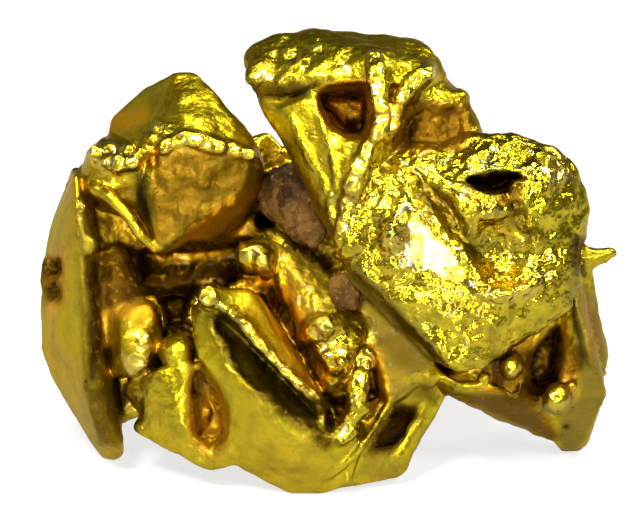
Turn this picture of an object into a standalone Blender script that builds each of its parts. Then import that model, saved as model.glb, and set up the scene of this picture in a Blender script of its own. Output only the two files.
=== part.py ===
"""A free-standing cluster of skeletal native-gold crystals, grown together into one piece.

Run with: blender --background --python part.py

The forms are laid out in the cluster's face-on frame, in millimetres: X to the right,
Y away from the viewer, Z up. The whole cluster then leans back by LEAN_DEG so that it
stands on its four feet, which the table plane trims flat.
"""

import math

import bmesh
import bpy
from mathutils import Matrix, Vector

MM = 0.001

# Driving dimensions
LEAN_DEG = 20.0            # how far the face-on frame leans back when the cluster stands
TABLE_Z = 0.40             # height of the table plane in the leaning cluster, mm
WORN_EDGE = 0.12           # width of the rounding on a crystal's edges, mm
CHIP_GAP = 0.20            # clearance between a matrix chip and the gold round it, mm

# Flat-faced crystals: each is the hull of these corners.
CRYSTALS = {
    "broad_plate": [
        (1.90, -1.70, 8.62), (3.35, -1.60, 8.85), (4.82, -1.40, 8.95), (5.82, -1.30, 8.62),
        (6.40, -1.20, 7.98), (6.62, -1.10, 7.20), (6.58, -1.10, 6.42), (6.22, -1.90, 6.18),
        (6.20, -1.90, 4.60), (5.65, -2.05, 4.45), (5.15, -2.15, 4.05), (4.65, -2.25, 3.60),
        (3.95, -2.35, 3.15), (3.38, -2.40, 3.08), (3.00, -2.45, 3.45), (2.58, -2.50, 3.98),
        (2.05, -2.50, 4.62), (1.30, -2.45, 5.18), (0.62, -2.20, 5.78), (0.40, -2.00, 6.70),
        (0.62, -2.15, 7.30), (1.12, -2.20, 8.05), (2.30, -2.85, 6.90), (4.20, -2.75, 7.60),
        (5.40, -2.40, 7.60), (4.60, -2.75, 5.00), (5.60, -2.40, 5.20),
        (0.55, -1.50, 5.66), (0.78, -1.60, 5.35), (1.70, -1.70, 4.42), (2.42, -1.70, 3.82),
        (2.80, -1.60, 3.32), (1.60, 0.60, 8.20), (5.20, 0.80, 8.50), (6.30, 0.60, 7.30),
        (6.10, 0.40, 5.00), (4.40, 0.20, 3.70), (3.20, 0.00, 3.40), (1.20, 0.40, 5.60)],
    "crown": [
        (-1.88, -0.90, 10.85), (-1.88, -0.90, 10.45), (-1.70, -1.00, 10.08),
        (-1.78, -0.80, 11.05), (-1.08, -0.60, 11.45), (-0.15, -0.50, 11.55),
        (1.08, -0.50, 11.42), (2.32, -0.50, 11.30), (2.70, -0.60, 11.08),
        (3.12, -0.70, 10.42), (3.20, -0.60, 10.12), (-1.42, -1.00, 9.70),
        (-0.98, -1.10, 8.82), (-0.48, -1.20, 8.25), (0.10, -1.40, 7.70),
        (0.20, -1.60, 7.12), (0.50, -1.80, 5.95), (-1.42, -1.50, 10.45),
        (-0.20, -1.80, 10.45), (1.32, -2.20, 10.75), (1.40, -2.45, 10.05),
        (1.52, -2.55, 9.28), (1.00, -2.50, 8.12), (0.75, -2.45, 7.55), (0.50, -2.25, 6.42),
        (2.62, -1.80, 10.45), (2.05, -2.20, 9.80), (1.82, -2.40, 9.12),
        (-0.40, -1.80, 9.80), (0.00, -2.00, 9.05), (0.30, -2.10, 8.10),
        (-1.10, 0.90, 10.60), (0.20, 1.20, 11.00), (2.50, 1.20, 10.60),
        (3.10, 1.00, 9.60), (0.90, 1.20, 7.50), (-0.30, 0.80, 8.90)],
    "crown_shoulder": [
        (3.05, -0.70, 10.30), (3.32, -0.60, 9.92), (3.62, -0.60, 9.85), (3.78, -0.60, 9.62),
        (3.92, -0.70, 9.25), (4.05, -0.80, 8.90), (2.50, -1.60, 10.20), (3.20, -1.40, 9.75),
        (2.20, -1.70, 8.60), (4.00, -1.30, 8.70), (2.40, 0.90, 10.20), (3.60, 0.90, 9.60),
        (4.00, 0.90, 8.80), (2.20, 0.90, 8.60)],
    "left_block": [
        (-3.62, 0.20, 10.57), (-3.18, 0.20, 10.57), (-4.18, 0.40, 10.27),
        (-4.85, 0.50, 9.75), (-5.25, 0.40, 9.35), (-5.30, 0.10, 8.95), (-4.10, -1.20, 8.75),
        (-3.80, -1.45, 8.60), (-3.48, -1.55, 8.80), (-3.12, -1.55, 8.80),
        (-2.20, -1.40, 8.60), (-1.75, -1.15, 8.42), (-1.65, -0.90, 8.80),
        (-2.15, -0.75, 9.40), (-2.70, -0.30, 10.03), (-1.40, -0.30, 8.25),
        (-1.45, -0.30, 7.85), (-1.85, -1.10, 7.62), (-2.20, -1.18, 7.20),
        (-2.90, -1.30, 6.90), (-3.62, -1.38, 6.30), (-4.00, -1.35, 6.07),
        (-4.28, -1.20, 6.90), (-4.25, -1.30, 7.90), (-1.60, 0.50, 7.00),
        (-2.40, 0.80, 6.10), (-3.60, 0.50, 5.80), (-3.40, 1.80, 9.40),
        (-4.90, 1.50, 8.60), (-1.80, 1.40, 8.30), (-4.40, 1.00, 6.40)],
    "left_shoulder": [
        (-5.30, 0.00, 9.00), (-5.78, -0.10, 8.55), (-5.92, -0.10, 8.25),
        (-6.05, 0.00, 7.90), (-5.60, -1.00, 8.42), (-5.20, -1.25, 8.25),
        (-4.60, -1.40, 8.25), (-4.20, -1.35, 8.15), (-4.50, -0.70, 7.10),
        (-5.30, -1.20, 7.55), (-5.75, -0.95, 7.45), (-5.95, -0.60, 7.60),
        (-4.90, -0.70, 8.75), (-4.40, 1.20, 8.60), (-5.60, 1.20, 8.00),
        (-4.40, 0.80, 7.00), (-5.60, 0.90, 7.00)],
    "left_blade": [
        (-6.05, -0.90, 7.95), (-5.98, -1.15, 7.20), (-5.95, -1.35, 6.30),
        (-5.80, -1.45, 5.15), (-5.78, -1.50, 3.80), (-5.72, -1.45, 2.85),
        (-5.58, -1.20, 2.05), (-5.35, -0.80, 1.45), (-4.92, -0.30, 1.12),
        (-6.10, 0.30, 8.10), (-6.50, 0.60, 7.28), (-6.80, 0.80, 6.52), (-6.88, 0.90, 6.02),
        (-7.00, 0.90, 5.35), (-7.00, 0.90, 3.58), (-6.75, 0.90, 2.92),
        (-6.30, 0.80, 2.08), (-5.82, 0.90, 1.28), (-5.48, 1.00, 0.80), (-5.22, 1.08, 0.68),
        (-4.95, 1.00, 0.88), (-6.55, -0.45, 5.40), (-6.50, -0.45, 3.80),
        (-5.60, 0.60, 6.80), (-5.55, 0.60, 3.00), (-5.80, 1.90, 6.50), (-5.90, 2.10, 3.40),
        (-5.35, 1.70, 1.40)],
    "core": [
        (-5.40, 0.70, 7.40), (-5.30, 0.60, 2.60), (-3.80, 0.70, 7.20), (-2.20, 0.90, 5.60),
        (0.40, 0.30, 7.60), (2.60, 0.60, 8.60), (5.60, 0.60, 7.60), (5.80, 0.60, 4.40),
        (2.60, 0.30, 2.80), (0.50, 0.10, 2.00), (-2.60, 0.50, 2.00), (-4.60, 0.60, 1.95),
        (-3.60, 3.20, 7.20), (2.60, 3.20, 7.60), (3.60, 3.00, 4.40), (-3.60, 3.00, 3.20)],
    "left_web": [
        (-6.05, 0.30, 7.60), (-6.20, 0.40, 5.00), (-6.10, 0.40, 3.00), (-5.70, 0.50, 1.95),
        (-4.90, 0.60, 1.72), (-4.40, 0.40, 1.90), (-4.50, 0.70, 7.20), (-4.30, 0.60, 4.00),
        (-5.70, 2.20, 6.60), (-5.60, 2.50, 3.40), (-4.00, 3.00, 6.60), (-4.00, 2.80, 3.20),
        (-4.60, 2.00, 2.20)],
    "lower_lobe": [
        (-4.42, -1.05, 2.80), (-4.05, -1.30, 3.10), (-3.40, -1.45, 3.12),
        (-3.32, -1.50, 1.70), (-4.65, -0.50, 1.55), (-4.40, -0.60, 1.68),
        (-4.05, -0.75, 1.55), (-3.85, -0.85, 1.25), (-3.45, -1.00, 0.95),
        (-3.10, -1.10, 0.73), (-2.75, -1.10, 0.58), (-2.40, -1.20, 0.70),
        (-2.00, -1.40, 0.72), (-2.25, -1.60, 1.20), (-2.20, -1.70, 2.80),
        (-2.90, -1.60, 3.25), (-4.30, 1.20, 3.00), (-2.20, 1.20, 3.00),
        (-3.90, 0.80, 1.75), (-2.50, 0.60, 1.30)],
    "wedge_base": [
        (-3.22, -1.60, 4.72), (-3.20, -1.70, 4.20), (-3.02, -1.90, 3.40),
        (-2.60, -2.10, 3.05), (-2.30, -2.25, 3.12), (-2.70, -2.10, 4.55),
        (-2.30, -1.50, 2.20), (-2.20, -1.50, 1.30), (-2.00, -1.35, 0.68),
        (-1.55, -1.25, 0.43), (-1.12, -1.15, 0.25), (-0.72, -1.15, -0.02),
        (0.00, -1.15, -0.04), (0.40, -1.20, 0.12), (0.70, -1.40, 0.35),
        (0.95, -1.70, 0.95), (1.10, -1.80, 1.25), (0.60, -2.10, 1.42), (0.05, -2.25, 1.30),
        (-0.35, -2.35, 1.50), (-0.92, -2.45, 1.90), (-1.38, -2.50, 2.35),
        (-1.78, -2.50, 2.78), (-0.60, -2.00, 0.70), (-1.50, -2.05, 1.30),
        (-2.80, 1.20, 4.40), (1.00, 1.00, 3.00), (0.50, 0.60, 0.60), (-1.50, 0.60, 0.70)],
    "wedge_slab": [
        (-3.05, -1.85, 5.05), (-2.75, -2.10, 5.08), (-2.42, -2.30, 4.65),
        (-1.90, -2.50, 4.28), (-1.50, -2.60, 3.75), (-1.18, -2.70, 3.35),
        (-0.50, -2.75, 2.72), (0.02, -2.65, 2.30), (0.05, -2.45, 2.05),
        (-2.28, -2.00, 5.00), (-1.75, -1.95, 5.10), (-1.45, -1.90, 4.80),
        (-1.00, -2.00, 3.75), (-0.45, -2.10, 3.20), (0.05, -2.20, 2.45),
        (-2.80, 0.60, 4.60), (-1.45, 0.60, 4.90), (0.00, 0.60, 2.60), (-1.80, 0.40, 3.00),
        (-2.80, -1.60, 4.00), (-1.60, -1.80, 2.60), (-0.20, -1.80, 1.60)],
    "middle_ridge": [
        (-1.30, -0.90, 6.28), (-0.90, -1.00, 6.00), (-0.30, -0.90, 5.75),
        (0.30, -1.00, 5.30), (1.02, -1.60, 4.22), (0.75, -1.90, 3.80), (0.42, -1.95, 3.20),
        (0.15, -1.90, 2.45), (-0.20, -1.60, 3.70), (-0.50, -1.40, 4.50),
        (-1.20, -1.10, 5.60), (1.10, -1.20, 3.60), (0.90, -1.10, 2.40),
        (-1.20, 0.80, 5.90), (1.00, 0.60, 4.60), (0.60, 0.60, 2.40), (-0.40, 0.60, 3.00)],
    "shelf": [
        (0.58, -1.05, 5.52), (1.42, -1.35, 4.62), (2.18, -1.45, 3.95), (2.75, -1.45, 3.35),
        (2.78, -1.40, 3.02), (2.40, -1.35, 2.92), (2.02, -1.40, 2.38), (1.73, -1.50, 2.22),
        (1.42, -1.40, 3.25), (1.15, -1.30, 4.08), (0.60, -1.00, 4.80), (0.80, 0.60, 5.20),
        (2.60, 0.60, 3.00), (2.00, 0.50, 2.20), (1.00, 0.50, 2.60)],
    "corner_block": [
        (1.00, -0.95, 2.20), (1.70, -1.05, 2.45), (2.30, -0.85, 2.60), (2.85, -0.60, 2.86),
        (3.08, -0.55, 2.62), (3.12, -0.60, 2.42), (2.93, -0.60, 2.28), (2.82, -0.60, 2.08), (2.78, -0.60, 1.88),
        (2.55, -0.70, 1.65), (2.42, -0.75, 1.45), (2.35, -0.75, 1.18), (2.28, -0.75, 0.85),
        (2.12, -0.75, 0.55), (1.96, -0.75, 0.40), (1.52, -0.80, 0.32), (0.98, -0.90, 0.32),
        (0.60, -1.10, 0.20), (0.30, -1.20, 0.10), (0.80, -1.40, 0.90), (1.90, -1.05, 0.70),
        (2.20, -1.00, 1.60), (2.80, 0.80, 2.30), (1.80, 0.80, 1.00), (0.60, 0.80, 0.90)],
    "right_rib": [
        (6.20, -1.00, 6.30), (6.35, -0.95, 5.60), (6.42, -0.90, 4.90), (6.60, -0.85, 3.95),
        (6.75, -0.70, 3.35), (7.05, -0.30, 2.75), (7.12, -0.10, 2.45), (7.02, 0.20, 2.15),
        (6.88, 0.50, 1.75), (6.70, 0.90, 1.25), (6.60, 1.45, 0.96), (6.38, 1.60, 0.88),
        (6.12, 1.55, 0.88), (5.95, 0.95, 1.18), (5.90, -0.30, 2.20), (6.10, -0.70, 3.60),
        (6.15, -0.80, 5.00), (6.90, 1.40, 2.60), (6.60, 1.40, 4.50), (6.20, 0.80, 6.20),
        (6.20, 2.20, 2.40), (5.80, 1.80, 4.00)],
    "right_wing": [
        (6.50, 0.30, 6.60), (6.72, 0.50, 6.00), (6.82, 0.70, 5.30), (6.88, 0.80, 4.98),
        (6.98, 0.90, 4.62), (7.05, 1.00, 4.25), (7.15, 1.05, 3.75), (7.20, 1.10, 3.38),
        (7.14, 1.20, 3.05), (7.05, 1.30, 2.85), (6.70, 0.20, 3.60), (6.50, 0.20, 5.00),
        (6.20, 0.20, 6.30), (6.60, 2.40, 5.60), (6.50, 2.70, 3.20), (5.60, 2.20, 5.60),
        (5.40, 2.20, 3.40)],
    "rear_beam": [
        (2.85, -1.00, 2.95), (3.00, -1.25, 2.80), (3.45, -1.35, 2.62), (3.95, -1.35, 2.62),
        (4.40, -1.30, 2.55), (4.78, -1.25, 2.38), (5.05, -1.20, 2.60), (3.10, -0.50, 2.45),
        (3.45, -0.30, 2.42), (4.00, 0.10, 2.20), (4.50, 0.35, 1.97), (5.02, 0.60, 1.73),
        (5.33, 0.80, 1.56), (5.65, 1.00, 1.40), (6.00, 1.20, 1.15), (6.10, -0.20, 2.30),
        (6.10, -0.60, 4.80), (4.20, -1.20, 3.60), (3.20, 2.00, 3.40), (5.80, 2.40, 2.20),
        (5.80, 2.20, 5.00)],
    "back_octahedron": [
        (-1.60, 5.40, 6.20), (-4.40, 2.60, 6.00), (1.40, 2.80, 6.60), (-1.40, 2.60, 9.20),
        (-1.60, 3.00, 3.20), (-3.20, 4.40, 7.20), (-0.60, 4.90, 4.60)],
    "back_foot": [
        (-0.80, 2.20, 4.60), (1.90, 2.40, 4.80), (-0.40, 3.30, 1.70), (0.90, 4.20, 1.85),
        (0.10, 4.40, 1.95), (1.40, 4.50, 3.60), (1.70, 3.20, 2.20), (-0.20, 4.40, 3.40),
        (0.30, 2.60, 1.80)],
    "back_right": [
        (3.60, 4.40, 5.40), (1.60, 2.60, 6.80), (5.60, 2.60, 5.20), (3.80, 2.20, 8.00),
        (3.60, 2.60, 3.00), (4.80, 3.60, 6.20), (2.40, 4.00, 4.20)],
}

# Rounded lumps: centre, radii and turn about the line of sight.
LUMPS = {
    "left_knob": ((-4.66, -0.50, 3.80), (0.70, 0.75, 1.06), 10.0),
    "knob_shoulder": ((-4.45, -0.55, 4.35), (0.62, 0.55, 0.45), 0.0),
    "pillow": ((-3.55, -0.95, 3.52), (0.48, 0.55, 0.42), 0.0),
    "wedge_head": ((-2.72, -2.05, 4.88), (0.34, 0.34, 0.34), 0.0),
    "middle_head": ((-1.55, -1.00, 5.85), (0.50, 0.45, 0.46), -30.0),
    "crown_tip": ((-1.40, -1.05, 10.42), (0.44, 0.52, 0.40), 0.0),
    "shoulder_knuckle": ((3.45, -0.80, 9.78), (0.24, 0.40, 0.24), 0.0),
    "plate_heel": ((0.85, -2.15, 6.55), (0.42, 0.42, 0.80), 12.0),
    "shoulder_bead": ((-5.70, -1.35, 6.15), (0.24, 0.24, 0.24), 0.0),
    "crumb_a": ((0.10, -1.80, 4.20), (0.42, 0.35, 0.24), 18.0),
    "crumb_b": ((0.45, -1.95, 3.45), (0.26, 0.25, 0.40), -20.0),
    "foot_knob": ((0.58, -1.90, 1.50), (0.26, 0.26, 0.20), 0.0),
}

# Long growth edges and wires: a radius in mm at each point.
RIDGES = {
    "serrated_edge": [(-2.45, -2.30, 4.68, 0.10), (-1.90, -2.56, 4.28, 0.11),
                      (-1.50, -2.66, 3.76, 0.11), (-1.18, -2.72, 3.36, 0.11),
                      (-0.52, -2.78, 2.76, 0.11), (0.02, -2.66, 2.32, 0.08)],
    "left_rib": [(-5.60, -0.95, 7.58, 0.20), (-5.20, -1.30, 7.38, 0.20),
                 (-4.72, -1.38, 6.85, 0.14), (-4.45, -1.33, 6.40, 0.11),
                 (-4.05, -1.20, 6.02, 0.11), (-3.80, -0.90, 6.05, 0.12)],
    "left_wire": [(-6.02, -1.20, 7.30, 0.06), (-5.90, -1.32, 7.15, 0.08),
                  (-5.95, -1.40, 6.85, 0.08), (-5.88, -1.42, 6.45, 0.07),
                  (-5.75, -1.40, 6.25, 0.06)],
    "block_equator": [(-5.55, -1.00, 8.42, 0.12), (-5.20, -1.25, 8.25, 0.14),
                      (-4.65, -1.40, 8.22, 0.15), (-4.10, -1.40, 8.50, 0.12),
                      (-3.48, -1.58, 8.78, 0.12), (-2.70, -1.50, 8.62, 0.14),
                      (-1.80, -1.15, 8.44, 0.10)],
    "crown_edge": [(1.32, -2.15, 10.80, 0.14), (1.38, -2.42, 10.40, 0.17),
                   (1.42, -2.52, 10.00, 0.17), (1.50, -2.60, 9.45, 0.14),
                   (1.45, -2.62, 8.95, 0.13), (1.15, -2.60, 8.45, 0.14),
                   (0.98, -2.58, 8.05, 0.17), (0.72, -2.50, 7.50, 0.17)],
    "shoulder_edge": [(2.70, -1.65, 10.52, 0.12), (2.36, -1.95, 10.22, 0.14),
                      (2.05, -2.22, 9.80, 0.13), (1.90, -2.40, 9.30, 0.12),
                      (1.60, -2.50, 8.72, 0.10)],
    "horn": [(6.45, 0.60, 5.85, 0.36), (6.85, 0.55, 5.88, 0.24), (7.12, 0.50, 5.90, 0.16),
             (7.32, 0.50, 6.00, 0.11), (7.42, 0.50, 5.96, 0.05)],
    "rear_lip": [(2.80, -1.35, 3.18, 0.07), (3.05, -1.42, 2.90, 0.08),
                 (3.48, -1.50, 2.70, 0.08), (3.95, -1.52, 2.72, 0.08),
                 (4.40, -1.48, 2.60, 0.08), (4.76, -1.42, 2.42, 0.08),
                 (5.00, -1.35, 2.55, 0.08), (5.05, -1.25, 2.85, 0.06)],
    "shelf_tail": [(1.80, -1.52, 2.45, 0.13), (1.70, -1.58, 2.18, 0.09),
                   (1.42, -1.80, 1.74, 0.07), (1.08, -1.92, 1.24, 0.07),
                   (0.76, -1.84, 0.84, 0.07), (0.22, -1.56, 0.42, 0.06)],
    "bowl_lip": [(3.70, -2.62, 5.20, 0.06), (4.08, -2.70, 4.96, 0.10),
                 (4.50, -2.70, 4.88, 0.11), (4.95, -2.62, 4.96, 0.10),
                 (5.32, -2.46, 5.20, 0.06)],
    "foot_ridge": [(1.12, -1.60, 3.50, 0.10), (0.98, -1.85, 2.95, 0.22),
                   (0.90, -1.95, 2.30, 0.22), (0.72, -1.92, 1.70, 0.20),
                   (0.60, -1.85, 1.42, 0.16)],
    "right_edge": [(6.30, -1.05, 5.75, 0.08), (6.36, -1.02, 4.85, 0.09),
                   (6.48, -0.98, 4.20, 0.09), (6.64, -0.92, 3.70, 0.10),
                   (6.78, -0.75, 3.20, 0.10)],
    "chip_rail": [(-0.90, -0.40, 7.80, 0.08), (-0.80, -0.55, 7.30, 0.09),
                  (-0.72, -0.60, 6.90, 0.06)],
}

# Hoppers, grooves and clefts cut back into the gold: the hull of these corners.
HOPPERS = {
    "crown_hopper": [
        (-0.28, -2.30, 9.98), (0.30, -2.40, 10.18), (1.25, -2.60, 10.28),
        (1.34, -2.80, 9.70), (1.28, -2.80, 9.12), (1.16, -2.80, 8.72), (0.66, -2.60, 8.72),
        (0.05, -2.30, 9.15), (0.05, -0.60, 9.85), (1.15, -0.60, 9.90), (1.10, -0.30, 9.00),
        (0.55, -0.60, 9.05)],
    "crown_recess": [
        (1.98, -2.60, 9.42), (2.62, -2.40, 9.62), (3.45, -2.20, 9.52), (3.66, -2.20, 9.15),
        (3.45, -2.20, 8.78), (2.62, -2.40, 8.55), (1.90, -2.60, 8.78), (2.25, -0.60, 9.38),
        (3.45, -0.30, 9.38), (3.45, -0.40, 8.86), (2.10, -0.60, 8.82)],
    "crown_flute": [
        (1.60, -3.00, 10.30), (2.25, -3.00, 10.35), (1.95, -3.00, 9.60), (1.68, -3.00, 9.10),
        (1.75, -1.95, 10.10), (2.00, -1.90, 10.05), (1.75, -2.10, 9.30)],
    "plate_hole": [
        (3.36, -3.00, 7.72), (3.85, -3.00, 8.00), (4.30, -3.00, 8.08), (4.85, -3.00, 7.98),
        (5.12, -3.00, 7.80), (4.62, -3.00, 7.36), (4.35, -3.00, 7.28), (3.80, -3.00, 7.42),
        (3.70, -1.30, 7.80), (4.85, -1.20, 7.86), (4.35, -1.10, 7.52)],
    "wedge_groove": [
        (-2.98, -2.40, 4.50), (-2.28, -2.70, 4.54), (-1.76, -2.85, 3.96),
        (-1.30, -2.95, 3.34), (-0.60, -3.00, 2.68), (0.00, -3.00, 2.22),
        (0.06, -2.60, 1.36), (-0.35, -2.60, 1.52), (-0.92, -2.65, 1.92),
        (-1.38, -2.70, 2.38), (-2.28, -2.60, 3.10), (-2.34, -2.50, 3.42),
        (-2.40, -1.45, 4.36), (-1.82, -1.30, 3.82), (-1.22, -1.35, 3.12),
        (-0.50, -1.40, 2.48), (-0.05, -1.60, 2.00)],
    "wedge_valley": [
        (-1.75, -3.20, 5.02), (-1.40, -3.20, 5.15), (-0.70, -3.20, 4.70),
        (-0.30, -3.20, 4.20), (-0.10, -3.20, 3.40), (0.08, -3.20, 2.50),
        (-0.60, -3.20, 3.22), (-1.20, -3.20, 4.15), (-1.30, -0.90, 4.80),
        (-0.80, -0.90, 4.20), (-0.20, -1.10, 3.20)],
    "lobe_pit": [
        (-3.12, -2.10, 3.28), (-2.92, -2.30, 3.20), (-2.55, -2.40, 2.72),
        (-2.22, -2.20, 1.95), (-2.26, -2.00, 1.15), (-2.70, -1.80, 0.84),
        (-3.08, -1.80, 1.15), (-3.32, -1.90, 1.75), (-3.34, -2.00, 2.70),
        (-3.10, -0.90, 2.90), (-2.60, -0.80, 2.60), (-2.42, -0.80, 1.90),
        (-2.65, -0.80, 1.20), (-3.10, -0.90, 1.70)],
    "cellar": [
        (6.02, -2.20, 4.50), (5.60, -2.40, 4.10), (5.20, -2.20, 3.62), (5.10, -2.00, 3.10),
        (5.15, -1.80, 2.32), (5.70, -1.60, 2.25), (6.08, -1.60, 2.60), (6.16, -1.80, 3.50),
        (5.95, 1.00, 4.10), (5.25, 1.30, 3.50), (5.25, 1.40, 2.70), (5.85, 1.20, 2.80)],
    "corner_pit": [
        (1.78, -2.20, 2.20), (2.46, -2.25, 2.20), (2.52, -2.25, 1.95), (2.30, -2.20, 1.60),
        (1.98, -2.15, 1.30), (1.86, -2.10, 0.98), (1.20, -2.10, 1.02), (1.42, -2.15, 1.52),
        (1.80, 0.20, 2.12), (2.34, 0.20, 2.08), (2.30, 0.20, 1.80), (1.78, 0.10, 1.12),
        (1.28, 0.00, 1.12), (1.50, 0.10, 1.60)],
    "shelf_cavity": [
        (1.18, -2.60, 3.80), (1.35, -2.60, 3.50), (1.62, -2.60, 2.75), (1.60, -2.60, 2.28),
        (1.25, -2.60, 2.30), (1.15, -2.60, 3.10), (1.30, -0.30, 3.20), (1.40, -0.30, 2.60)],
    "dark_slot": [
        (0.10, -2.60, 2.60), (0.32, -2.60, 2.62), (0.40, -2.60, 1.55), (0.12, -2.60, 1.40),
        (0.18, -1.10, 2.40), (0.26, -1.10, 1.70)],
    "wing_groove": [
        (6.55, -1.60, 4.70), (6.85, -1.60, 4.20), (6.98, -1.60, 3.60), (7.00, -1.60, 3.30),
        (6.82, -1.60, 3.20), (6.66, -1.60, 3.90), (6.70, 0.60, 4.10), (6.80, 0.60, 3.60)],
    "middle_cave": [
        (-5.05, -0.80, 6.10), (-4.20, -0.80, 5.78), (-1.85, -0.80, 6.10), (-1.55, -0.80, 6.55),
        (-1.80, -0.80, 5.60), (-2.30, -0.80, 5.02), (-3.30, -0.80, 4.74),
        (-5.10, -0.80, 4.90), (-4.55, 1.90, 6.00), (-1.80, 2.20, 6.20), (-1.90, 2.10, 5.45),
        (-2.60, 2.10, 5.05), (-4.60, 1.80, 5.05)],
    "blade_shelf": [
        (-5.50, -2.20, 6.60), (-4.95, -2.20, 6.30), (-4.90, -2.20, 3.40),
        (-5.30, -2.20, 2.50), (-5.62, -2.20, 3.40), (-5.66, -2.20, 5.40),
        (-5.20, 0.40, 5.80), (-5.25, 0.40, 3.20)],
    "black_hole": [
        (-4.08, -2.40, 4.95), (-3.30, -2.40, 4.95), (-3.32, -2.40, 4.05),
        (-3.95, -2.40, 3.92), (-4.02, 1.60, 4.90), (-3.36, 1.60, 4.90),
        (-3.42, 1.60, 4.16), (-3.90, 1.60, 4.10)],
    "cleft": [
        (-1.75, -1.60, 7.05), (-1.15, -1.60, 7.15), (-1.05, -1.60, 6.50),
        (-1.70, -1.60, 6.30), (-1.50, 2.20, 6.90), (-1.20, 2.20, 6.70)],
}

# Round-bottomed hollows: centre, radii and turn about the line of sight.
HOLLOWS = {
    "plate_bowl": ((4.48, -3.12, 6.02), (0.98, 1.02, 1.02), 0.0),
    "blade_notch": ((-6.66, -0.55, 5.58), (0.33, 0.75, 0.30), 0.0),
    "blade_notch_low": ((-6.72, -0.50, 5.04), (0.35, 0.72, 0.32), 0.0),
    "knob_undercut": ((-4.70, -0.60, 2.35), (0.34, 0.80, 0.62), -10.0),
    "foot_notch": ((6.18, 0.20, 1.64), (0.16, 0.60, 0.14), 0.0),
    "orange_scoop": ((-4.95, -0.55, 9.35), (0.50, 0.50, 0.24), 20.0),
}

# Round-bottomed channels: a radius in mm at each point.
CHANNELS = {
    "plate_crease": [(4.60, -2.75, 7.40, 0.16), (4.95, -2.65, 6.95, 0.24),
                     (5.15, -2.65, 6.55, 0.22), (5.35, -2.60, 6.05, 0.10)],
    "plate_valley": [(2.15, -2.66, 8.20, 0.14), (2.35, -2.76, 7.90, 0.28),
                     (3.00, -2.88, 7.20, 0.34), (3.42, -2.90, 6.55, 0.32),
                     (3.58, -2.92, 6.00, 0.18)],
    "brow_line": [(-1.75, -1.20, 9.95, 0.12), (-1.05, -1.62, 9.72, 0.20),
                  (-0.35, -1.88, 9.92, 0.18), (0.05, -2.05, 10.12, 0.12)],
}

# Drops that stand inside the hollows.
BEADS = {
    "bowl_boss": ((4.12, -2.42, 7.02), (0.43, 0.30, 0.35), 0.0),
    "cellar_bead": ((5.88, -0.62, 2.37), (0.35, 0.35, 0.35), 0.0),
    "cellar_pip": ((6.27, -0.62, 2.68), (0.14, 0.16, 0.14), 0.0),
    "shelf_drop": ((4.76, -1.60, 3.15), (0.28, 0.50, 0.30), 0.0),
    "pit_pip": ((-2.75, -0.92, 2.00), (0.14, 0.22, 0.14), 0.0),
    "pit_crust": ((-2.72, -1.15, 1.25), (0.34, 0.22, 0.26), 0.0),
    "lip_pip": ((4.05, -1.55, 2.88), (0.13, 0.13, 0.13), 0.0),
    "floor_drop": ((0.68, -1.45, 0.36), (0.12, 0.14, 0.11), 0.0),
}

# Grains of the old matrix wedged in the clefts.
CHIPS = {
    "quartz_chip_upper": [
        (-1.45, 0.10, 7.75), (-1.28, 0.00, 7.82), (-0.85, -0.50, 8.05), (-0.45, -0.50, 8.10),
        (-0.28, -0.50, 7.85), (-0.12, -0.70, 7.10), (0.05, -0.80, 6.45),
        (-0.10, -0.80, 6.22), (-0.50, -0.75, 6.35), (-0.78, -0.70, 7.00),
        (-0.95, -0.40, 7.55), (-1.40, 0.00, 7.20), (-0.80, 0.40, 7.90), (-0.30, 0.40, 6.60),
        (-1.30, 0.50, 7.50)],
    "quartz_chip_lower": [
        (0.34, -1.35, 5.28), (0.62, -1.45, 5.42), (0.88, -1.50, 5.15), (0.88, -1.65, 4.62),
        (0.50, -1.62, 4.68), (0.34, -1.45, 4.95), (0.50, -0.70, 5.20), (0.80, -0.70, 4.80)],
}


def hull_mesh(corners, grow=0.0):
    """A closed mesh with flat faces: the corners' convex hull, moved out by about grow mm."""
    centre = sum((Vector(corner) for corner in corners), Vector()) / len(corners)
    mesh = bmesh.new()
    for corner in corners:
        outward = Vector(corner) - centre
        stretched = outward + outward.normalized() * grow
        mesh.verts.new((centre + stretched) * MM)
    made = bmesh.ops.convex_hull(mesh, input=mesh.verts)
    inner = {item for item in made["geom_interior"] if isinstance(item, bmesh.types.BMVert)}
    bmesh.ops.delete(mesh, geom=list(inner), context="VERTS")
    flat = math.radians(2)
    bmesh.ops.dissolve_limit(mesh, angle_limit=flat, verts=mesh.verts, edges=mesh.edges)
    bmesh.ops.recalc_face_normals(mesh, faces=mesh.faces)
    return finished(mesh)


def lump_mesh(centre, radii, turn_deg):
    """An ellipsoid, turned about the line of sight."""
    place = Matrix.Translation(Vector(centre) * MM)
    turn = Matrix.Rotation(math.radians(turn_deg), 4, "Y")
    size = Matrix.Diagonal(Vector(radii) * MM).to_4x4()
    rounds = 3 if max(radii) > 0.6 else 2
    mesh = bmesh.new()
    bmesh.ops.create_icosphere(mesh, subdivisions=rounds, radius=1, matrix=place @ turn @ size)
    return finished(mesh)


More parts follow.
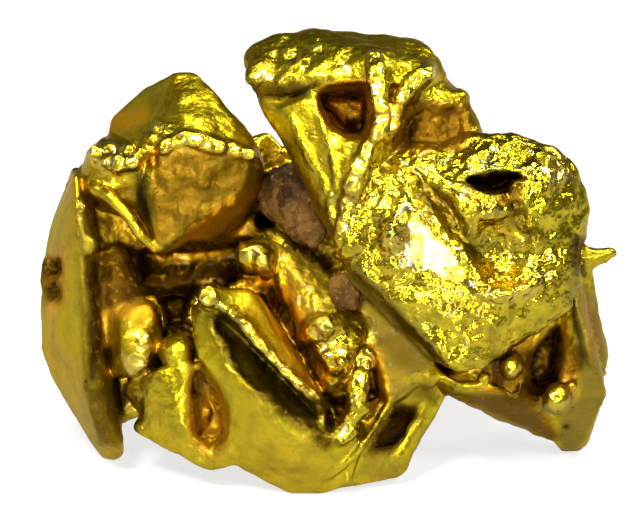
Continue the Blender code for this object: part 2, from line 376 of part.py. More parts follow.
def ridge_mesh(path, sides=7):
    """A tube through the path's points, as thick at each as its fourth number says."""
    points = [Vector(stop[:3]) for stop in path]
    mesh = bmesh.new()
    rings = []
    for index, point in enumerate(points):
        before = points[max(index - 1, 0)]
        after = points[min(index + 1, len(points) - 1)]
        along = (after - before).normalized()
        across = along.cross(Vector((0, 1, 0))).normalized()
        out = along.cross(across)
        ring = []
        for side in range(sides):
            angle = 2 * math.pi * side / sides
            arm = across * math.cos(angle) + out * math.sin(angle)
            ring.append(mesh.verts.new((point + arm * path[index][3]) * MM))
        rings.append(ring)
    for ring, following in zip(rings, rings[1:]):
        for side in range(sides):
            beside = (side + 1) % sides
            mesh.faces.new((ring[side], ring[beside], following[beside], following[side]))
    for ring, near, far in ((rings[0], points[0], points[1]), (rings[-1], points[-1], points[-2])):
        radius = path[0][3] if ring is rings[0] else path[-1][3]
        tip = mesh.verts.new((near + (near - far).normalized() * radius * 0.7) * MM)
        for side in range(sides):
            mesh.faces.new((ring[side], ring[(side + 1) % sides], tip))
    bmesh.ops.recalc_face_normals(mesh, faces=mesh.faces)
    return finished(mesh)


def finished(mesh):
    data = bpy.data.meshes.new("form")
    mesh.to_mesh(data)
    mesh.free()
    return data


def material(name, colour, roughness, metallic):
    made = bpy.data.materials.new(name)
    made.use_nodes = True
    shader = made.node_tree.nodes["Principled BSDF"]
    shader.inputs["Base Color"].default_value = colour
    shader.inputs["Roughness"].default_value = roughness
    shader.inputs["Metallic"].default_value = metallic
    return made


def add(name, data, home, parent):
    obj = bpy.data.objects.new(name, data)
    obj.parent = parent
    home.objects.link(obj)
    return obj


def helper(name, data, home, parent):
    """A form that only shapes the cluster, and so isn't rendered itself."""
    obj = add(name, data, home, parent)
    obj.hide_render = True
    obj.display_type = "WIRE"
    return obj


def wear(obj):
    """Takes the sharp edges off a crystal."""
    rounding = obj.modifiers.new("worn edges", "BEVEL")
    rounding.width = WORN_EDGE * MM
    rounding.segments = 1
    rounding.limit_method = "ANGLE"
    rounding.angle_limit = math.radians(14)


def grow_together(obj, title, meshes, parent, worn=False):
    """Joins more forms to obj, each a helper of its own in a collection with this title."""
    home = bpy.data.collections.new(title)
    bpy.context.scene.collection.children.link(home)
    for name, data in meshes.items():
        form = helper(name, data, home, parent)
        if worn and name in CRYSTALS:
            wear(form)
    join = obj.modifiers.new(title, "BOOLEAN")
    join.operation = "UNION"
    join.operand_type = "COLLECTION"
    join.collection = home
    join.solver = "EXACT"


def fused(title, meshes, parent):
    """One helper made of all these forms."""
    first, *others = meshes
    whole = helper(first, meshes[first], bpy.context.scene.collection, parent)
    grow_together(whole, title, {name: meshes[name] for name in others}, parent)
    return whole


def combine(obj, operation, other):
    change = obj.modifiers.new(other.name, "BOOLEAN")
    change.operation = operation
    change.object = other
    change.solver = "EXACT"


def table_mesh():
    """A block whose top is the table plane, in the standing frame."""
    mesh = bmesh.new()
    side = 40.0
    bmesh.ops.create_cube(mesh, size=side * MM)
    bmesh.ops.translate(mesh, vec=(0, 0, (TABLE_Z - side / 2) * MM), verts=mesh.verts)
    return finished(mesh)


def build_gold(stand):
    base, *others = CRYSTALS
    gold = add("gold_crystals", hull_mesh(CRYSTALS[base]), bpy.context.scene.collection, stand)
    wear(gold)
    grown = {name: hull_mesh(CRYSTALS[name]) for name in others}
    grown |= {name: lump_mesh(*shape) for name, shape in LUMPS.items()}
    grown |= {name: ridge_mesh(path) for name, path in RIDGES.items()}
    grow_together(gold, "crystals", grown, stand, worn=True)

    cut = {name: hull_mesh(corners) for name, corners in HOPPERS.items()}
    cut |= {name: lump_mesh(*shape) for name, shape in HOLLOWS.items()}
    cut |= {name: ridge_mesh(path) for name, path in CHANNELS.items()}
    combine(gold, "DIFFERENCE", fused("hollows", cut, stand))

    beads = {name: lump_mesh(*shape) for name, shape in BEADS.items()}
    combine(gold, "UNION", fused("beads", beads, stand))

    pockets = {name + " pocket": hull_mesh(corners, CHIP_GAP) for name, corners in CHIPS.items()}
    combine(gold, "DIFFERENCE", fused("pockets", pockets, stand))
    table = helper("table", table_mesh(), bpy.context.scene.collection, None)
    combine(gold, "DIFFERENCE", table)
    gold.data.materials.append(material("gold", (0.83, 0.60, 0.13, 1.0), 0.25, 1.0))
    return gold, table


def build_chips(stand):
    quartz = material("stained quartz", (0.42, 0.29, 0.19, 1.0), 0.7, 0.0)
    for name, corners in CHIPS.items():
        chip = add(name, hull_mesh(corners), bpy.context.scene.collection, stand)
        chip.data.materials.append(quartz)


def stand_on_table(stand, gold, table):
    """Moves the leaning cluster so that its feet are at Z = 0, round the Z axis."""
    bpy.context.view_layer.update()
    shape = gold.evaluated_get(bpy.context.evaluated_depsgraph_get())
    vertices = [shape.matrix_world @ vertex.co for vertex in shape.data.vertices]
    low = Vector(min(point[axis] for point in vertices) for axis in range(3))
    high = Vector(max(point[axis] for point in vertices) for axis in range(3))
    shift = Vector((-(low.x + high.x) / 2, -(low.y + high.y) / 2, -low.z))
    stand.location += shift
    table.location += shift


def main():
    for obj in list(bpy.data.objects):
        bpy.data.objects.remove(obj)
    stand = bpy.data.objects.new("stand", None)
    bpy.context.scene.collection.objects.link(stand)
    stand.rotation_euler.x = -math.radians(LEAN_DEG)
    gold, table = build_gold(stand)
    build_chips(stand)
    stand_on_table(stand, gold, table)


main()
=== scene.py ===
"""The looks of a free-standing cluster of native-gold crystals with quartz grains in its clefts.

Lengths in the tables are millimetres in the cluster's face-on frame: X to the right, Y away
from the viewer, Z up. The cluster stands leaning back by LEAN from that frame, and STAND is
where the frame's origin comes to rest.
"""

import math
from itertools import product

import bmesh
import bpy
import numpy as np
from bpy.props import FloatProperty, FloatVectorProperty, IntProperty, PointerProperty
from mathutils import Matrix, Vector
from mathutils.bvhtree import BVHTree


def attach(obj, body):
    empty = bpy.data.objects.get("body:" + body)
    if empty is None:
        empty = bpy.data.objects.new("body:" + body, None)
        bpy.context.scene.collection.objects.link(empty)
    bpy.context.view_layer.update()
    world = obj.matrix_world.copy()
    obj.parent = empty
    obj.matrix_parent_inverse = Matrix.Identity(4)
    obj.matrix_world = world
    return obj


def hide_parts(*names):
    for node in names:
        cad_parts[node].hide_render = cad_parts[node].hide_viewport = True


bl_info = {
    "name": "Gold crystal specimen",
    "version": (1, 0, 0),
    "blender": (4, 5, 0),
    "location": "3D View > Sidebar > Specimen",
    "description": "Grows the worn, pebbly skin of a native-gold crystal cluster over its solids",
    "category": "Add Mesh",
}

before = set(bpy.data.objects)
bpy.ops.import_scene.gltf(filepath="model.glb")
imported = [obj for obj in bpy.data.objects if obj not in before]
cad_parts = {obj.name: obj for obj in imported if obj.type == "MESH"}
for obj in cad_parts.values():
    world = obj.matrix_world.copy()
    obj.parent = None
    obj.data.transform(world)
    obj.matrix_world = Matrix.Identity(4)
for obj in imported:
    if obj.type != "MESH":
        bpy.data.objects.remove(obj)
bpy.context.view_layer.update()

MM = 0.001
LEAN = math.radians(20.0)
STAND = np.array([-0.23061, -2.65296, -0.40])
COS, SIN = math.cos(LEAN), math.sin(LEAN)
TURN = np.array([[1, 0, 0], [0, COS, -SIN], [0, SIN, COS]])
VIEWER = np.array([0, -1.0, 0])     # the way to the viewer, face on
NEAR_SIDE = -12.0                   # a depth in front of everything, mm
AIM = np.array([[0.0, 0.0, 5.75]])  # what the camera looks at, face on, mm
SENSOR = 36.0                       # width of the camera's sensor, mm

SMOOTHING = 0.5             # share of the way to its neighbours that a round moves a point
NOISE_GAIN = 1.6            # brings gradient noise to about -1 to 1
ASKEW = [0.31, 0.87, 0.38]  # a way that no ray of openness runs along
EDGE_ROUGHNESS = 0.75       # of the skin along strokes and rows of small crystals
BRIGHT = 20.0               # watts over squared size, past which a lamp flashes in facets

STRAY = 0.55           # how far a small crystal lies off its row, in its row's half-widths
SIZES = (0.55, 1.15)   # the range of its radius, in the same
SUNK = 0.15            # how far its centre lies under the surface, in its radii
AXES = (1.0, 2.0)      # the range of its half-axes, in its radii
CRYSTAL_SEED = 29

# Lamps: azimuth and elevation in degrees as the camera's, distance and size in metres, watts.
LAMPS = [
    ("key", -30.0, 52.0, 0.16, 0.044, 0.34),
    ("front", -7.0, 6.0, 0.16, 0.033, 0.09),
    ("near", 12.0, 34.0, 0.15, 0.024, 0.06),
    ("fill", 45.0, 40.0, 0.16, 0.034, 0.17),
    ("top", 100.0, 84.0, 0.18, 0.050, 0.22),
    ("left", -80.0, 30.0, 0.16, 0.100, 0.030),
    ("back_left", -134.0, 33.0, 0.17, 0.090, 0.009),
    ("back_right", 120.0, 44.0, 0.17, 0.055, 0.150),
]

# The studio from below (0) to overhead (1).
SKY = [(0.0, (0.60, 0.60, 0.60)), (0.10, (0.45, 0.45, 0.45)), (0.32, (0.08, 0.08, 0.08)),
       (1.0, (0.03, 0.03, 0.03))]


def disc(across, high, radius, corners=10):
    """A round outline in X and Z, its corners kept to a hundredth of a millimetre."""
    turn = 2 * math.pi * np.arange(corners) / corners
    ring = np.stack([across + radius * np.cos(turn), high - radius * np.sin(turn)], axis=1)
    return np.round(ring, 2)


def band(path, half):
    """An outline that lies half a width to each side of a path in X and Z."""
    stops = np.array(path)
    way = np.concatenate([stops[1:], stops[-1:]]) - np.concatenate([stops[:1], stops[:-1]])
    way /= np.linalg.norm(way, axis=1, keepdims=True)
    side = np.stack([way[:, 1], -way[:, 0]], axis=1) * half
    return np.round(np.concatenate([stops + side, (stops - side)[::-1]]), 2)


# Outlines and a path that more than one table uses.
WING_BEAD = disc(5.875, 2.375, 0.325)
BROW_END = [(-1.85, 10.2), (-1.85, 10.9), (-1.45, 11.15), (-0.75, 10.55), (-0.85, 10.2),
            (-1.45, 10)]
CREST = [(-1.2, 5.05), (-0.55, 5.2), (-0.3, 4.5), (-0.3, 3.67), (0.15, 2.6), (-0.2, 2.5),
         (-0.8, 3.55)]
KNOB_FACE = [(-5.35, 3.65), (-4.7, 3.95), (-4.05, 4), (-4.05, 2.9), (-4.5, 2.65), (-5.2, 2.75)]
LIP = [(-2.675, 4.5), (-2.525, 4.05), (-2.25, 3.5), (-1.925, 3.05), (-1.6, 2.675), (-1.25, 2.35),
       (-0.8, 2), (-0.35, 1.7), (0.1, 1.475)]

# Where the skin is rough or smooth: outline in X and Z, the depths it holds for, how rough.
GROUNDS = [
    # the big pebbly plate
    ([(0.40, 6.7), (1.1, 8.2), (1.9, 8.72), (4.8, 9.0), (6.2, 8.3), (6.7, 7.0), (6.3, 4.6),
      (5.1, 4.0), (4.0, 3.1), (3.3, 3.0), (2.0, 4.6), (0.5, 5.8)], (-9, 0.2), 1.0),
    ([(2.0, 7.1), (2.75, 7.0), (3.3, 6.1), (3.7, 5.0), (3.1, 5.1), (2.1, 5.8)], (-9, 0.2), 0.22),
    # the crown and its brow
    ([(-2.0, 10.2), (-1.2, 9.9), (0.2, 10.2), (1.2, 10.2), (1.6, 8.6), (2.1, 8.5), (4.2, 8.9),
      (3.6, 10.0), (2.9, 11.2), (-1.6, 11.6)], (-9, 9), 0.6),
    ([(-1.8, 9.8), (-0.7, 9.8), (-0.1, 9.7), (0.3, 8.2), (0.5, 6.2), (0.2, 6.2), (-0.6, 8.3),
      (-1.2, 9.3)], (-9, 1), 0.15),
    # the left block
    ([(-4.3, 8.3), (-3.5, 8.5), (-1.8, 8.3), (-2.2, 7.1), (-2.9, 6.9), (-3.7, 6.3),
      (-4.3, 7.0)], (-9, 0.5), 0.60),
    ([(-4.25, 9.95), (-3.3, 10.3), (-3.4, 9.2), (-3.6, 8.9), (-4.6, 8.9)], (-9, 1.5), 0.45),
    ([(-3.4, 10.1), (-2.7, 10.1), (-1.8, 8.9), (-2.2, 8.6), (-3.2, 8.9), (-3.45, 9.4)],
     (-9, 1.5), 0.35),
    ([(-5.4, 9.3), (-4.3, 10.2), (-4.2, 9.1), (-5.2, 8.7)], (-9, 1.5), 0.15),
    # the crumbling ridges of the middle
    ([(-0.1, 4.5), (0.4, 4.6), (1.1, 4.3), (1.3, 3.0), (1.0, 1.2), (0.3, 1.2), (0.2, 3.0),
      (-0.4, 3.9)], (-9, 0), 0.8),
    # the crumbs and bump above the wedge
    ([(-1.2, 6.3), (0.3, 6.35), (0.6, 4.8), (0.25, 4.05), (-0.2, 3.92), (-0.7, 4.9)], (-9, 3), 1.0),
    ([(-2, 6.35), (-1.15, 6.35), (-1.1, 5.4), (-2, 5.35)], (-9, 1), 0.7),
    # the smooth blade, wedge, knob and stripes
    ([(-7.2, 8.2), (-5.95, 7.8), (-5.8, 5.6), (-5.7, 2.6), (-4.8, 0.9), (-6.0, 0.4),
      (-7.2, 3.0)], (-9, 9), 0.10),
    ([(-3.3, 4.8), (-2.8, 4.4), (-2.25, 3.35), (-0.4, 1.3), (0.6, 1.4), (1.2, 0.9),
      (0.5, -0.3), (-2.2, 0.3), (-2.6, 2.2), (-3.0, 3.3)], (-9, 0), 0.22),
    ([(-5.6, 5.0), (-4.1, 5.0), (-3.9, 3.9), (-4.3, 2.7), (-4.9, 2.6), (-5.4, 3.6)],
     (-9, 0.2), 0.12),
    ([(-2.3, 5.1), (-0.9, 5.3), (-0.2, 4.0), (0.1, 2.4), (-0.6, 3.0), (-1.6, 4.2)],
     (-9, 0.5), 0.15),
]
GROUND_LEVEL = 0.40

# Strokes of relief on what faces the viewer: points (X, Z, half-width), height, beading.
STROKES = [
    # the right face's thin rim and the fold beside it
    ([(6.3, 5.38, 0.07), (6.35, 4.75, 0.07), (6.48, 4.25, 0.08), (6.6, 3.88, 0.09),
      (6.7, 3.48, 0.1)], 0.09, 0.2),
    ([(6.62, 4.55, 0.1), (6.75, 4.1, 0.12), (6.9, 3.5, 0.1)], -0.08, 0.0),
    ([(-4.38, 3.98, 0.09), (-4.3, 3.55, 0.1), (-4.36, 3.0, 0.09)], 0.07, 0.1),
    # the crown's beaded edge
    ([(1.32, 10.78, 0.15), (1.38, 10.43, 0.17), (1.4, 10.05, 0.17), (1.48, 9.62, 0.15),
      (1.52, 9.28, 0.15), (1.4, 8.9, 0.15), (1.18, 8.47, 0.17), (0.97, 8.12, 0.17),
      (0.82, 7.67, 0.17), (0.65, 6.92, 0.15), (0.53, 6.42, 0.12)], 0.15, 0.8),
    # the shoulder's beaded edge
    ([(2.75, 10.55, 0.12), (2.62, 10.4, 0.15), (2.35, 10.2, 0.15), (2.05, 9.8, 0.12),
      (1.9, 9.5, 0.12), (1.82, 9.12, 0.12), (1.62, 8.75, 0.12)], 0.13, 0.7),
    # the crown's left rail
    ([(-0.7, 9.3, 0.12), (-0.45, 8.75, 0.12), (-0.17, 8.18, 0.12), (0.1, 7.7, 0.12),
      (0.23, 7.12, 0.12), (0.4, 6.67, 0.12), (0.53, 6, 0.12)], 0.06, 0.8),
    ([(-0.15, 9.88, 0.1), (0, 9.35, 0.1), (0.17, 8.85, 0.1), (0.35, 8.18, 0.1),
      (0.42, 7.3, 0.1)], 0.05, 0.3),
    # the fold under the crown's brow
    ([(-1.75, 10.1, 0.15), (-1.45, 9.93, 0.17), (-1, 9.85, 0.17), (-0.5, 9.93, 0.15),
      (-0.12, 10.1, 0.12)], -0.12, 0.2),
    ([(-1.55, 10.25, 0.1), (-1, 10.1, 0.12), (-0.42, 10.25, 0.12),
      (-0.2, 10.45, 0.1)], 0.05, 0.7),
    # the plate's rims and creases
    ([(3.83, 5.08, 0.1), (4.08, 4.95, 0.12), (4.45, 4.92, 0.12), (4.83, 5.03, 0.12),
      (5.33, 5.28, 0.1)], 0.1, 0.4),
    ([(1.75, 6.6, 0.15), (1.75, 6, 0.15)], 0.09, 0.3),
    ([(4.97, 3.88, 0.07), (5.28, 4.12, 0.07), (5.62, 4.33, 0.07), (6.2, 4.53, 0.07)], -0.07, 0.3),
    ([(2.3, 7.9, 0.14), (2.7, 7.65, 0.18), (3, 7.2, 0.22), (3.3, 6.75, 0.22),
      (3.5, 6.3, 0.18)], -0.20, 0.3),
    ([(1.95, 7.85, 0.15), (2.1, 7.55, 0.15), (2.05, 7.2, 0.15)], 0.08, 0.8),
    # the light line below the plate
    ([(0.62, 5.6, 0.06), (0.8, 5.33, 0.06), (1.2, 4.92, 0.06), (1.7, 4.4, 0.06),
      (2.05, 4.08, 0.06), (2.42, 3.77, 0.06), (2.7, 3.45, 0.06), (2.8, 3.25, 0.06)], 0.05, 0),
    # the left block's beaded girdle
    ([(-3.48, 8.8, 0.12), (-3.12, 8.8, 0.12), (-2.65, 8.6, 0.12), (-2.2, 8.57, 0.12),
      (-1.77, 8.4, 0.12)], 0.1, 0.8),
    ([(-3.98, 9.15, 0.12), (-3.73, 9.03, 0.12), (-3.77, 8.65, 0.12),
      (-3.95, 8.3, 0.1)], 0.09, 0.8),
    ([(-5.58, 8.45, 0.15), (-5.2, 8.22, 0.17), (-4.65, 8.2, 0.15),
      (-4.35, 8.53, 0.12)], 0.1, 0.8),
    ([(-4.12, 8.6, 0.12), (-4.08, 8.22, 0.12)], -0.14, 0),
    ([(-4.25, 8, 0.07), (-4.25, 7.42, 0.07), (-4.2, 6.67, 0.07)], 0.04, 0.5),
    # the lobe's pit
    ([(-3.02, 3.05, 0.16), (-2.85, 2.50, 0.30), (-2.68, 1.85, 0.36),
      (-2.72, 1.25, 0.26)], -0.30, 0.1),
    # the wedge's serrated edge
    ([(-2.42, 4.65, 0.07), (-1.9, 4.28, 0.09), (-1.5, 3.75, 0.09), (-1.18, 3.35, 0.09),
      (-0.85, 3.05, 0.09), (-0.53, 2.75, 0.09), (-0.03, 2.38, 0.07)], 0.09, 0.35),
    # cracks and slits low on the wedge
    ([(-1.35, 0.85, 0.05), (-1.25, 0.6, 0.06), (-1.05, 0.45, 0.06), (-0.8, 0.45, 0.06),
      (-0.57, 0.55, 0.05)], -0.08, 0.3),
    ([(0.1, 0.28, 0.07), (0.33, 0.4, 0.07), (0.57, 0.57, 0.07), (0.8, 0.82, 0.05)], -0.09, 0.3),
    ([(-3.05, 2.8, 0.07), (-2.92, 3.3, 0.07), (-2.77, 3.67, 0.05)], -0.03, 0),
    # the crumbling ridges
    ([(-0.35, 3.95, 0.15), (-0.2, 4.12, 0.23), (0.12, 4.28, 0.23), (0.5, 4.3, 0.15)], 0.08, 0.5),
    ([(1.1, 4.25, 0.15), (0.95, 3.98, 0.17), (0.75, 3.67, 0.17), (0.57, 3.4, 0.17),
      (0.35, 3.1, 0.15)], 0.07, 0.8),
    ([(1.15, 3.55, 0.12), (1.1, 3.3, 0.17), (1, 2.85, 0.2), (0.95, 2.5, 0.17),
      (0.9, 2.2, 0.15)], 0.08, 0.6),
    ([(0.85, 2.2, 0.15), (0.75, 1.9, 0.15), (0.6, 1.5, 0.2)], 0.06, 0.6),
    ([(0.62, 3.2, 0.07), (0.8, 3.08, 0.07), (1, 3.2, 0.07), (1.15, 3.4, 0.07)], -0.12, 0.2),
    ([(-0.05, 3.92, 0.12), (0.05, 3.5, 0.12), (0.05, 3, 0.12), (0.25, 2.67, 0.1)], 0.08, 0.8),
    ([(-1.85, 5.9, 0.12), (-1.6, 5.9, 0.15), (-1.4, 5.75, 0.15), (-1.32, 5.5, 0.12)], 0.1, 0.5),
    ([(-0.93, 5.75, 0.1), (-1, 5.3, 0.1), (-0.93, 4.8, 0.1)], 0.06, 0.5),
    # striations under the plate
    ([(5.35, 3.85, 0.05), (5.6, 3.98, 0.05), (5.85, 4.08, 0.05)], 0.05, 0.3),
    ([(5.25, 3.7, 0.05), (5.53, 3.83, 0.05), (5.78, 3.92, 0.05)], 0.04, 0.3),
    ([(4.5, 3.58, 0.05), (4.78, 3.75, 0.06), (5.05, 3.92, 0.05)], -0.05, 0.3),
]

# Spots of relief on what faces the viewer: X, Z, half-width, height.
DOTS = [
    (-6.70, 5.62, 0.21, -0.34), (-6.72, 5.08, 0.19, -0.34), (-4.60, 3.30, 0.30, 0.10),
    (5.30, 7.30, 0.50, 0.10), (6.28, 2.68, 0.12, 0.05),
    (1.75, 6.30, 0.28, 0.10), (3.60, 4.40, 0.60, 0.10), (5.60, 5.30, 0.50, -0.10),
    (2.20, 5.30, 0.35, -0.08), (4.60, 3.95, 0.35, -0.07), (5.70, 6.40, 0.40, -0.08),
    (-5.70, 6.12, 0.12, -0.1), (-5.92, 6.22, 0.05, 0.03), (-2.00, 2.05, 0.07, -0.07),
    (-1.25, 2.02, 0.10, 0.06), (1.60, 3.98, 0.17, 0.05), (4.22, 6.97, 0.23, 0.1),
    (3.95, 8.30, 0.33, 0.07), (3.67, 8.15, 0.15, 0.06), (4.15, 8.40, 0.15, 0.06),
    (5.62, 8.18, 0.33, 0.08), (5.40, 8.00, 0.15, 0.05), (5.80, 7.85, 0.12, 0.05),
    (-3.70, 6.30, 0.12, 0.06), (0.70, 0.55, 0.12, 0.06), (-2.83, 2.12, 0.10, 0.08),
    (-2.65, 1.23, 0.12, 0.06), (-2.85, 1.12, 0.10, 0.06), (-4.40, 3.50, 0.20, 0.05),
    (-4.75, 3.10, 0.20, 0.03), (-5.40, 3.00, 0.06, 0.05), (-5.55, 2.65, 0.05, 0.04),
    (0.10, 3.45, 0.12, 0.1), (0.78, 3.73, 0.12, 0.08), (0.50, 3.30, 0.12, 0.08),
    (-1.43, 10.35, 0.17, 0.06), (3.35, 9.80, 0.17, 0.08), (3.52, 9.55, 0.12, 0.06),
    (-0.50, 4.50, 0.15, 0.06), (-0.78, 5.60, 0.12, 0.06), (-0.50, 5.85, 0.12, 0.08),
    (-0.20, 6.05, 0.12, 0.08), (-0.07, 5.75, 0.10, 0.06), (6.35, 5.30, 0.06, 0.06),
    (6.75, 5.75, 0.10, 0.05), (7.17, 5.75, 0.07, 0.05), (6.58, 4.55, 0.06, 0.06),
]

# Painted shade and bounced light on what faces the viewer: outline in X and Z, then from -1,
# dark green painted shade, to 1, orange, partly painted light bounced into hollows and
# partly the metal's own orange.
SHADE_AND_BOUNCE_TONES = [
    ([(5.1, 2.55), (5.1, 3.55), (6.17, 3.9), (6.6, 3.55), (6.4, 2.95), (5.62, 2.7),
      (5.25, 2.25)], 0.8),
    ([(-6.9, 4.85), (-6.55, 4.85), (-6.55, 4.5), (-6.8, 4.35)], 0.9),
    ([(3.38, 7.65), (4.3, 7.22), (5.1, 7.75), (5, 7.4), (4.3, 7.05), (3.65, 7.3)], 0.8),
    ([(-3.25, 4.25), (-2.85, 4.05), (-2.1, 3), (-0.88, 2.1), (0.25, 1.4), (0.05, 1.15),
      (-1.45, 2.25), (-2.35, 2.95), (-3.1, 3.67)], 0.05),
    ([(-4.95, 2.85), (-4.25, 2.85), (-4.25, 1.55), (-4.9, 1.3)], -0.35),
    ([(-0.17, 9.93), (0.3, 10.18), (1.27, 10.3), (1.4, 9.1), (1.27, 8.72), (0.62, 8.72),
      (0.05, 9.12)], 0.8),
    ([(1.9, 9.6), (2.3, 9.75), (3.6, 9.6), (3.7, 9.1), (3.5, 8.5), (1.85, 8.5)], 1),
    ([(-4.2, 5.95), (-3.75, 6.1), (-3.4, 6.4), (-2.85, 6.95), (-1.9, 7.42), (-1.6, 8.05),
      (-1.4, 7.75), (-1.75, 6.65), (-2.35, 5.95), (-3.88, 5.75)], 0.35),
    ([(-5.55, 6.17), (-4.05, 6.1), (-4, 4.67), (-4.1, 4.25), (-4.8, 4.15), (-5.3, 3.67),
      (-5.4, 3.55)], 1),
    ([(-5.4, 4.3), (-4.25, 4.35), (-4.2, 3.8), (-5.35, 3.5)], 0.1),
    ([(-1.2, 6.3), (0.25, 6.3), (0.5, 4.8), (-0.2, 4.05), (-0.75, 5.05)], 0.2),
    ([(4, 2.6), (5, 3.6), (6.17, 3.9), (6.55, 3.55), (6.3, 2.42), (5.62, 2.42), (5.25, 1.93),
      (4.5, 2.2)], 0.7),
    ([(-1.6, 5.2), (-1.1, 5.2), (-0.5, 4.05), (0.05, 2.8), (-0.1, 2.5), (-0.5, 2.85), (-1, 3.7),
      (-1.4, 4.5)], 0.7),
    ([(-2.2, 5.05), (-1.7, 5.1), (-1.45, 4.8), (-1.35, 4.35), (-0.97, 3.7), (-0.38, 2.92),
      (-0.05, 2.5), (-0.5, 2.8), (-1.45, 3.85), (-2, 4.5)], 0.3),
    ([(-2.12, 5.45), (-1.12, 5.45), (-0.95, 5), (-2, 5)], 0.9),
    ([(1.27, 3.67), (1.6, 3.55), (1.7, 2.67), (1.65, 2.23), (1.27, 2.23)], 0.7),
    ([(0.25, 2.42), (0.8, 2.3), (0.7, 1.7), (0.33, 1.7)], 0.5),
    ([(-3.15, 3.27), (-2.98, 3.27), (-2.6, 2.8), (-2.25, 2.05), (-2.3, 1.15), (-2.7, 0.82),
      (-3.08, 1.1), (-3.27, 1.7), (-3.33, 2.73)], 0.65),
    ([(3.75, 5.75), (4.8, 5.75), (4.9, 5.2), (3.95, 5.05)], 0.3),
    ([(-5.2, 9.55), (-4.25, 9.6), (-4.2, 9.25), (-4.7, 9.05), (-5.25, 9)], 0.8),
    ([(-3.52, 8.55), (-1.75, 8.35), (-1.85, 7.62), (-2.2, 7.2), (-2.9, 6.9), (-4, 6.1),
      (-4.28, 6.9), (-4.22, 7.92)], 0.6),
    ([(-4.25, 8.6), (-4, 8.6), (-4, 8.15), (-4.22, 8.18)], 0.5),
    ([(-6.92, 5.9), (-6.35, 5.95), (-6.35, 4.75), (-6.9, 4.7)], 1),
    ([(6.5, 4.8), (6.85, 4.67), (7.05, 3.5), (6.7, 3.4), (6.55, 4.05)], 0.9),
    ([(3.95, 2.55), (5, 2.35), (5.62, 1.95), (6, 1.4), (5.9, 1.15), (5, 1.7), (3.9, 2.2)], 0.8),
    ([(4.75, 3.8), (5.62, 3.92), (6.25, 4.05), (6.3, 2.42), (5.62, 2.3), (5, 2.42)], 0.8),
    ([(-2.85, 4.45), (-2.2, 4.55), (-1.45, 3.55), (-0.5, 2.5), (0.2, 2.25), (0.3, 1.35),
      (0.05, 1.3), (-0.93, 1.9), (-1.77, 2.77), (-2.3, 3.17)], -0.75),
    ([(0.62, 5.75), (0.9, 5.75), (1.6, 5.05), (2.2, 4.35), (2.75, 3.75), (3, 3.35), (2.8, 3.25),
      (2.42, 3.77), (1.7, 4.4), (0.8, 5.3)], -1),
    ([(-4.6, 8), (-4.2, 7.9), (-4.15, 6.65), (-4.35, 6.75)], -1),
    ([(-0.05, 2.35), (0.35, 2.35), (0.35, 1.35), (0, 1.3)], -0.6),
    ([(-1.7, 10.2), (-1.45, 9.95), (-0.88, 9.82), (-0.2, 9.88), (-0.05, 10.1), (-0.5, 10.1),
      (-1.1, 10.1)], -0.9),
    ([(6.15, 6.4), (6.65, 6.4), (6.65, 5.42), (6.25, 5.42)], -1),
    ([(6.05, 5.42), (6.28, 5.42), (6.5, 4.05), (6.6, 3.3), (6.45, 3.25), (6.2, 4.3)], -0.7),
    ([(-3.85, 5.95), (-2.4, 6.05), (-1.95, 6.7), (-1.85, 7.5), (-2.6, 7.2), (-3.35, 6.35)], 1),
    (WING_BEAD, 0),
    (disc(4.725, 3.1, 0.25), 0),
    (BROW_END, -0.35),
    (CREST, 0.6),
    (KNOB_FACE, 0),
]

# Polished by wear on what faces the viewer: outline in X and Z, how bright.
POLISHED = [
    ([(1.95, 7.1), (2.75, 7.1), (3.4, 6.1), (3.8, 4.95), (3, 5.05), (2.05, 5.7)], 1),
    ([(1.55, 6.75), (1.95, 6.75), (1.95, 5.85), (1.55, 5.85)], 0.7),
    ([(-4.65, 4), (-4.1, 4), (-4.1, 2.9), (-5.05, 2.75)], 1),
    ([(-3.1, 5.25), (-2.35, 5.25), (-2.35, 4.6), (-3.1, 4.6)], 1),
    ([(5.2, 8.55), (6.15, 8.4), (6.15, 7.75), (5.25, 7.85)], 1),
    ([(3.5, 8.6), (4.4, 8.6), (4.4, 8), (3.5, 8)], 1),
    ([(3.95, 7.15), (4.5, 7.15), (4.5, 6.75), (3.95, 6.75)], 0.8),
    ([(5.5, 2.7), (6.35, 2.7), (6.35, 1.95), (5.5, 1.95)], 0.6),
    ([(3.65, 5.15), (4.9, 5.3), (5.5, 5.4), (5.4, 4.95), (4.3, 4.7)], 0.6),
    (disc(5.875, 2.375, 0.35), 0.6),
    (disc(4.725, 3.1, 0.275), 0.6),
    (band([(1.325, 10.775), (1.45, 10.05), (1.525, 9.275), (1.25, 8.6), (0.875, 7.8),
           (0.6, 6.675)], 0.175), 0.5),
    (band([(2.625, 10.45), (2.05, 9.8), (1.825, 9.125)], 0.175), 0.5),
    (band([(-5.55, 8.375), (-5, 8.225), (-4.6, 8.3)], 0.175), 0.5),
    (band([(-3.475, 8.775), (-2.65, 8.625), (-1.775, 8.425)], 0.175), 0.5),
    (band([(-2.15, 4.625), (-1.45, 3.725), (-0.8, 3.05), (-0.125, 2.425)], 0.175), 0.5),
    (band([(-0.225, 4), (0.45, 4.275)], 0.175), 0.45),
    (band([(0.25, 3.25), (0.95, 3.975)], 0.175), 0.45),
    (band([(1.2, 3.425), (0.95, 2.55)], 0.175), 0.45),
    ([(-0.42, 4.5), (0.62, 4.55), (1.35, 4), (1.4, 3), (1.05, 2.3), (0.62, 2.5), (0.05, 3.6),
      (-0.42, 3.75)], 0.3),
    ([(-1.93, 6.15), (-1.35, 6.2), (-1.1, 5.6), (-1.45, 5.3), (-1.93, 5.55)], 0.3),
]

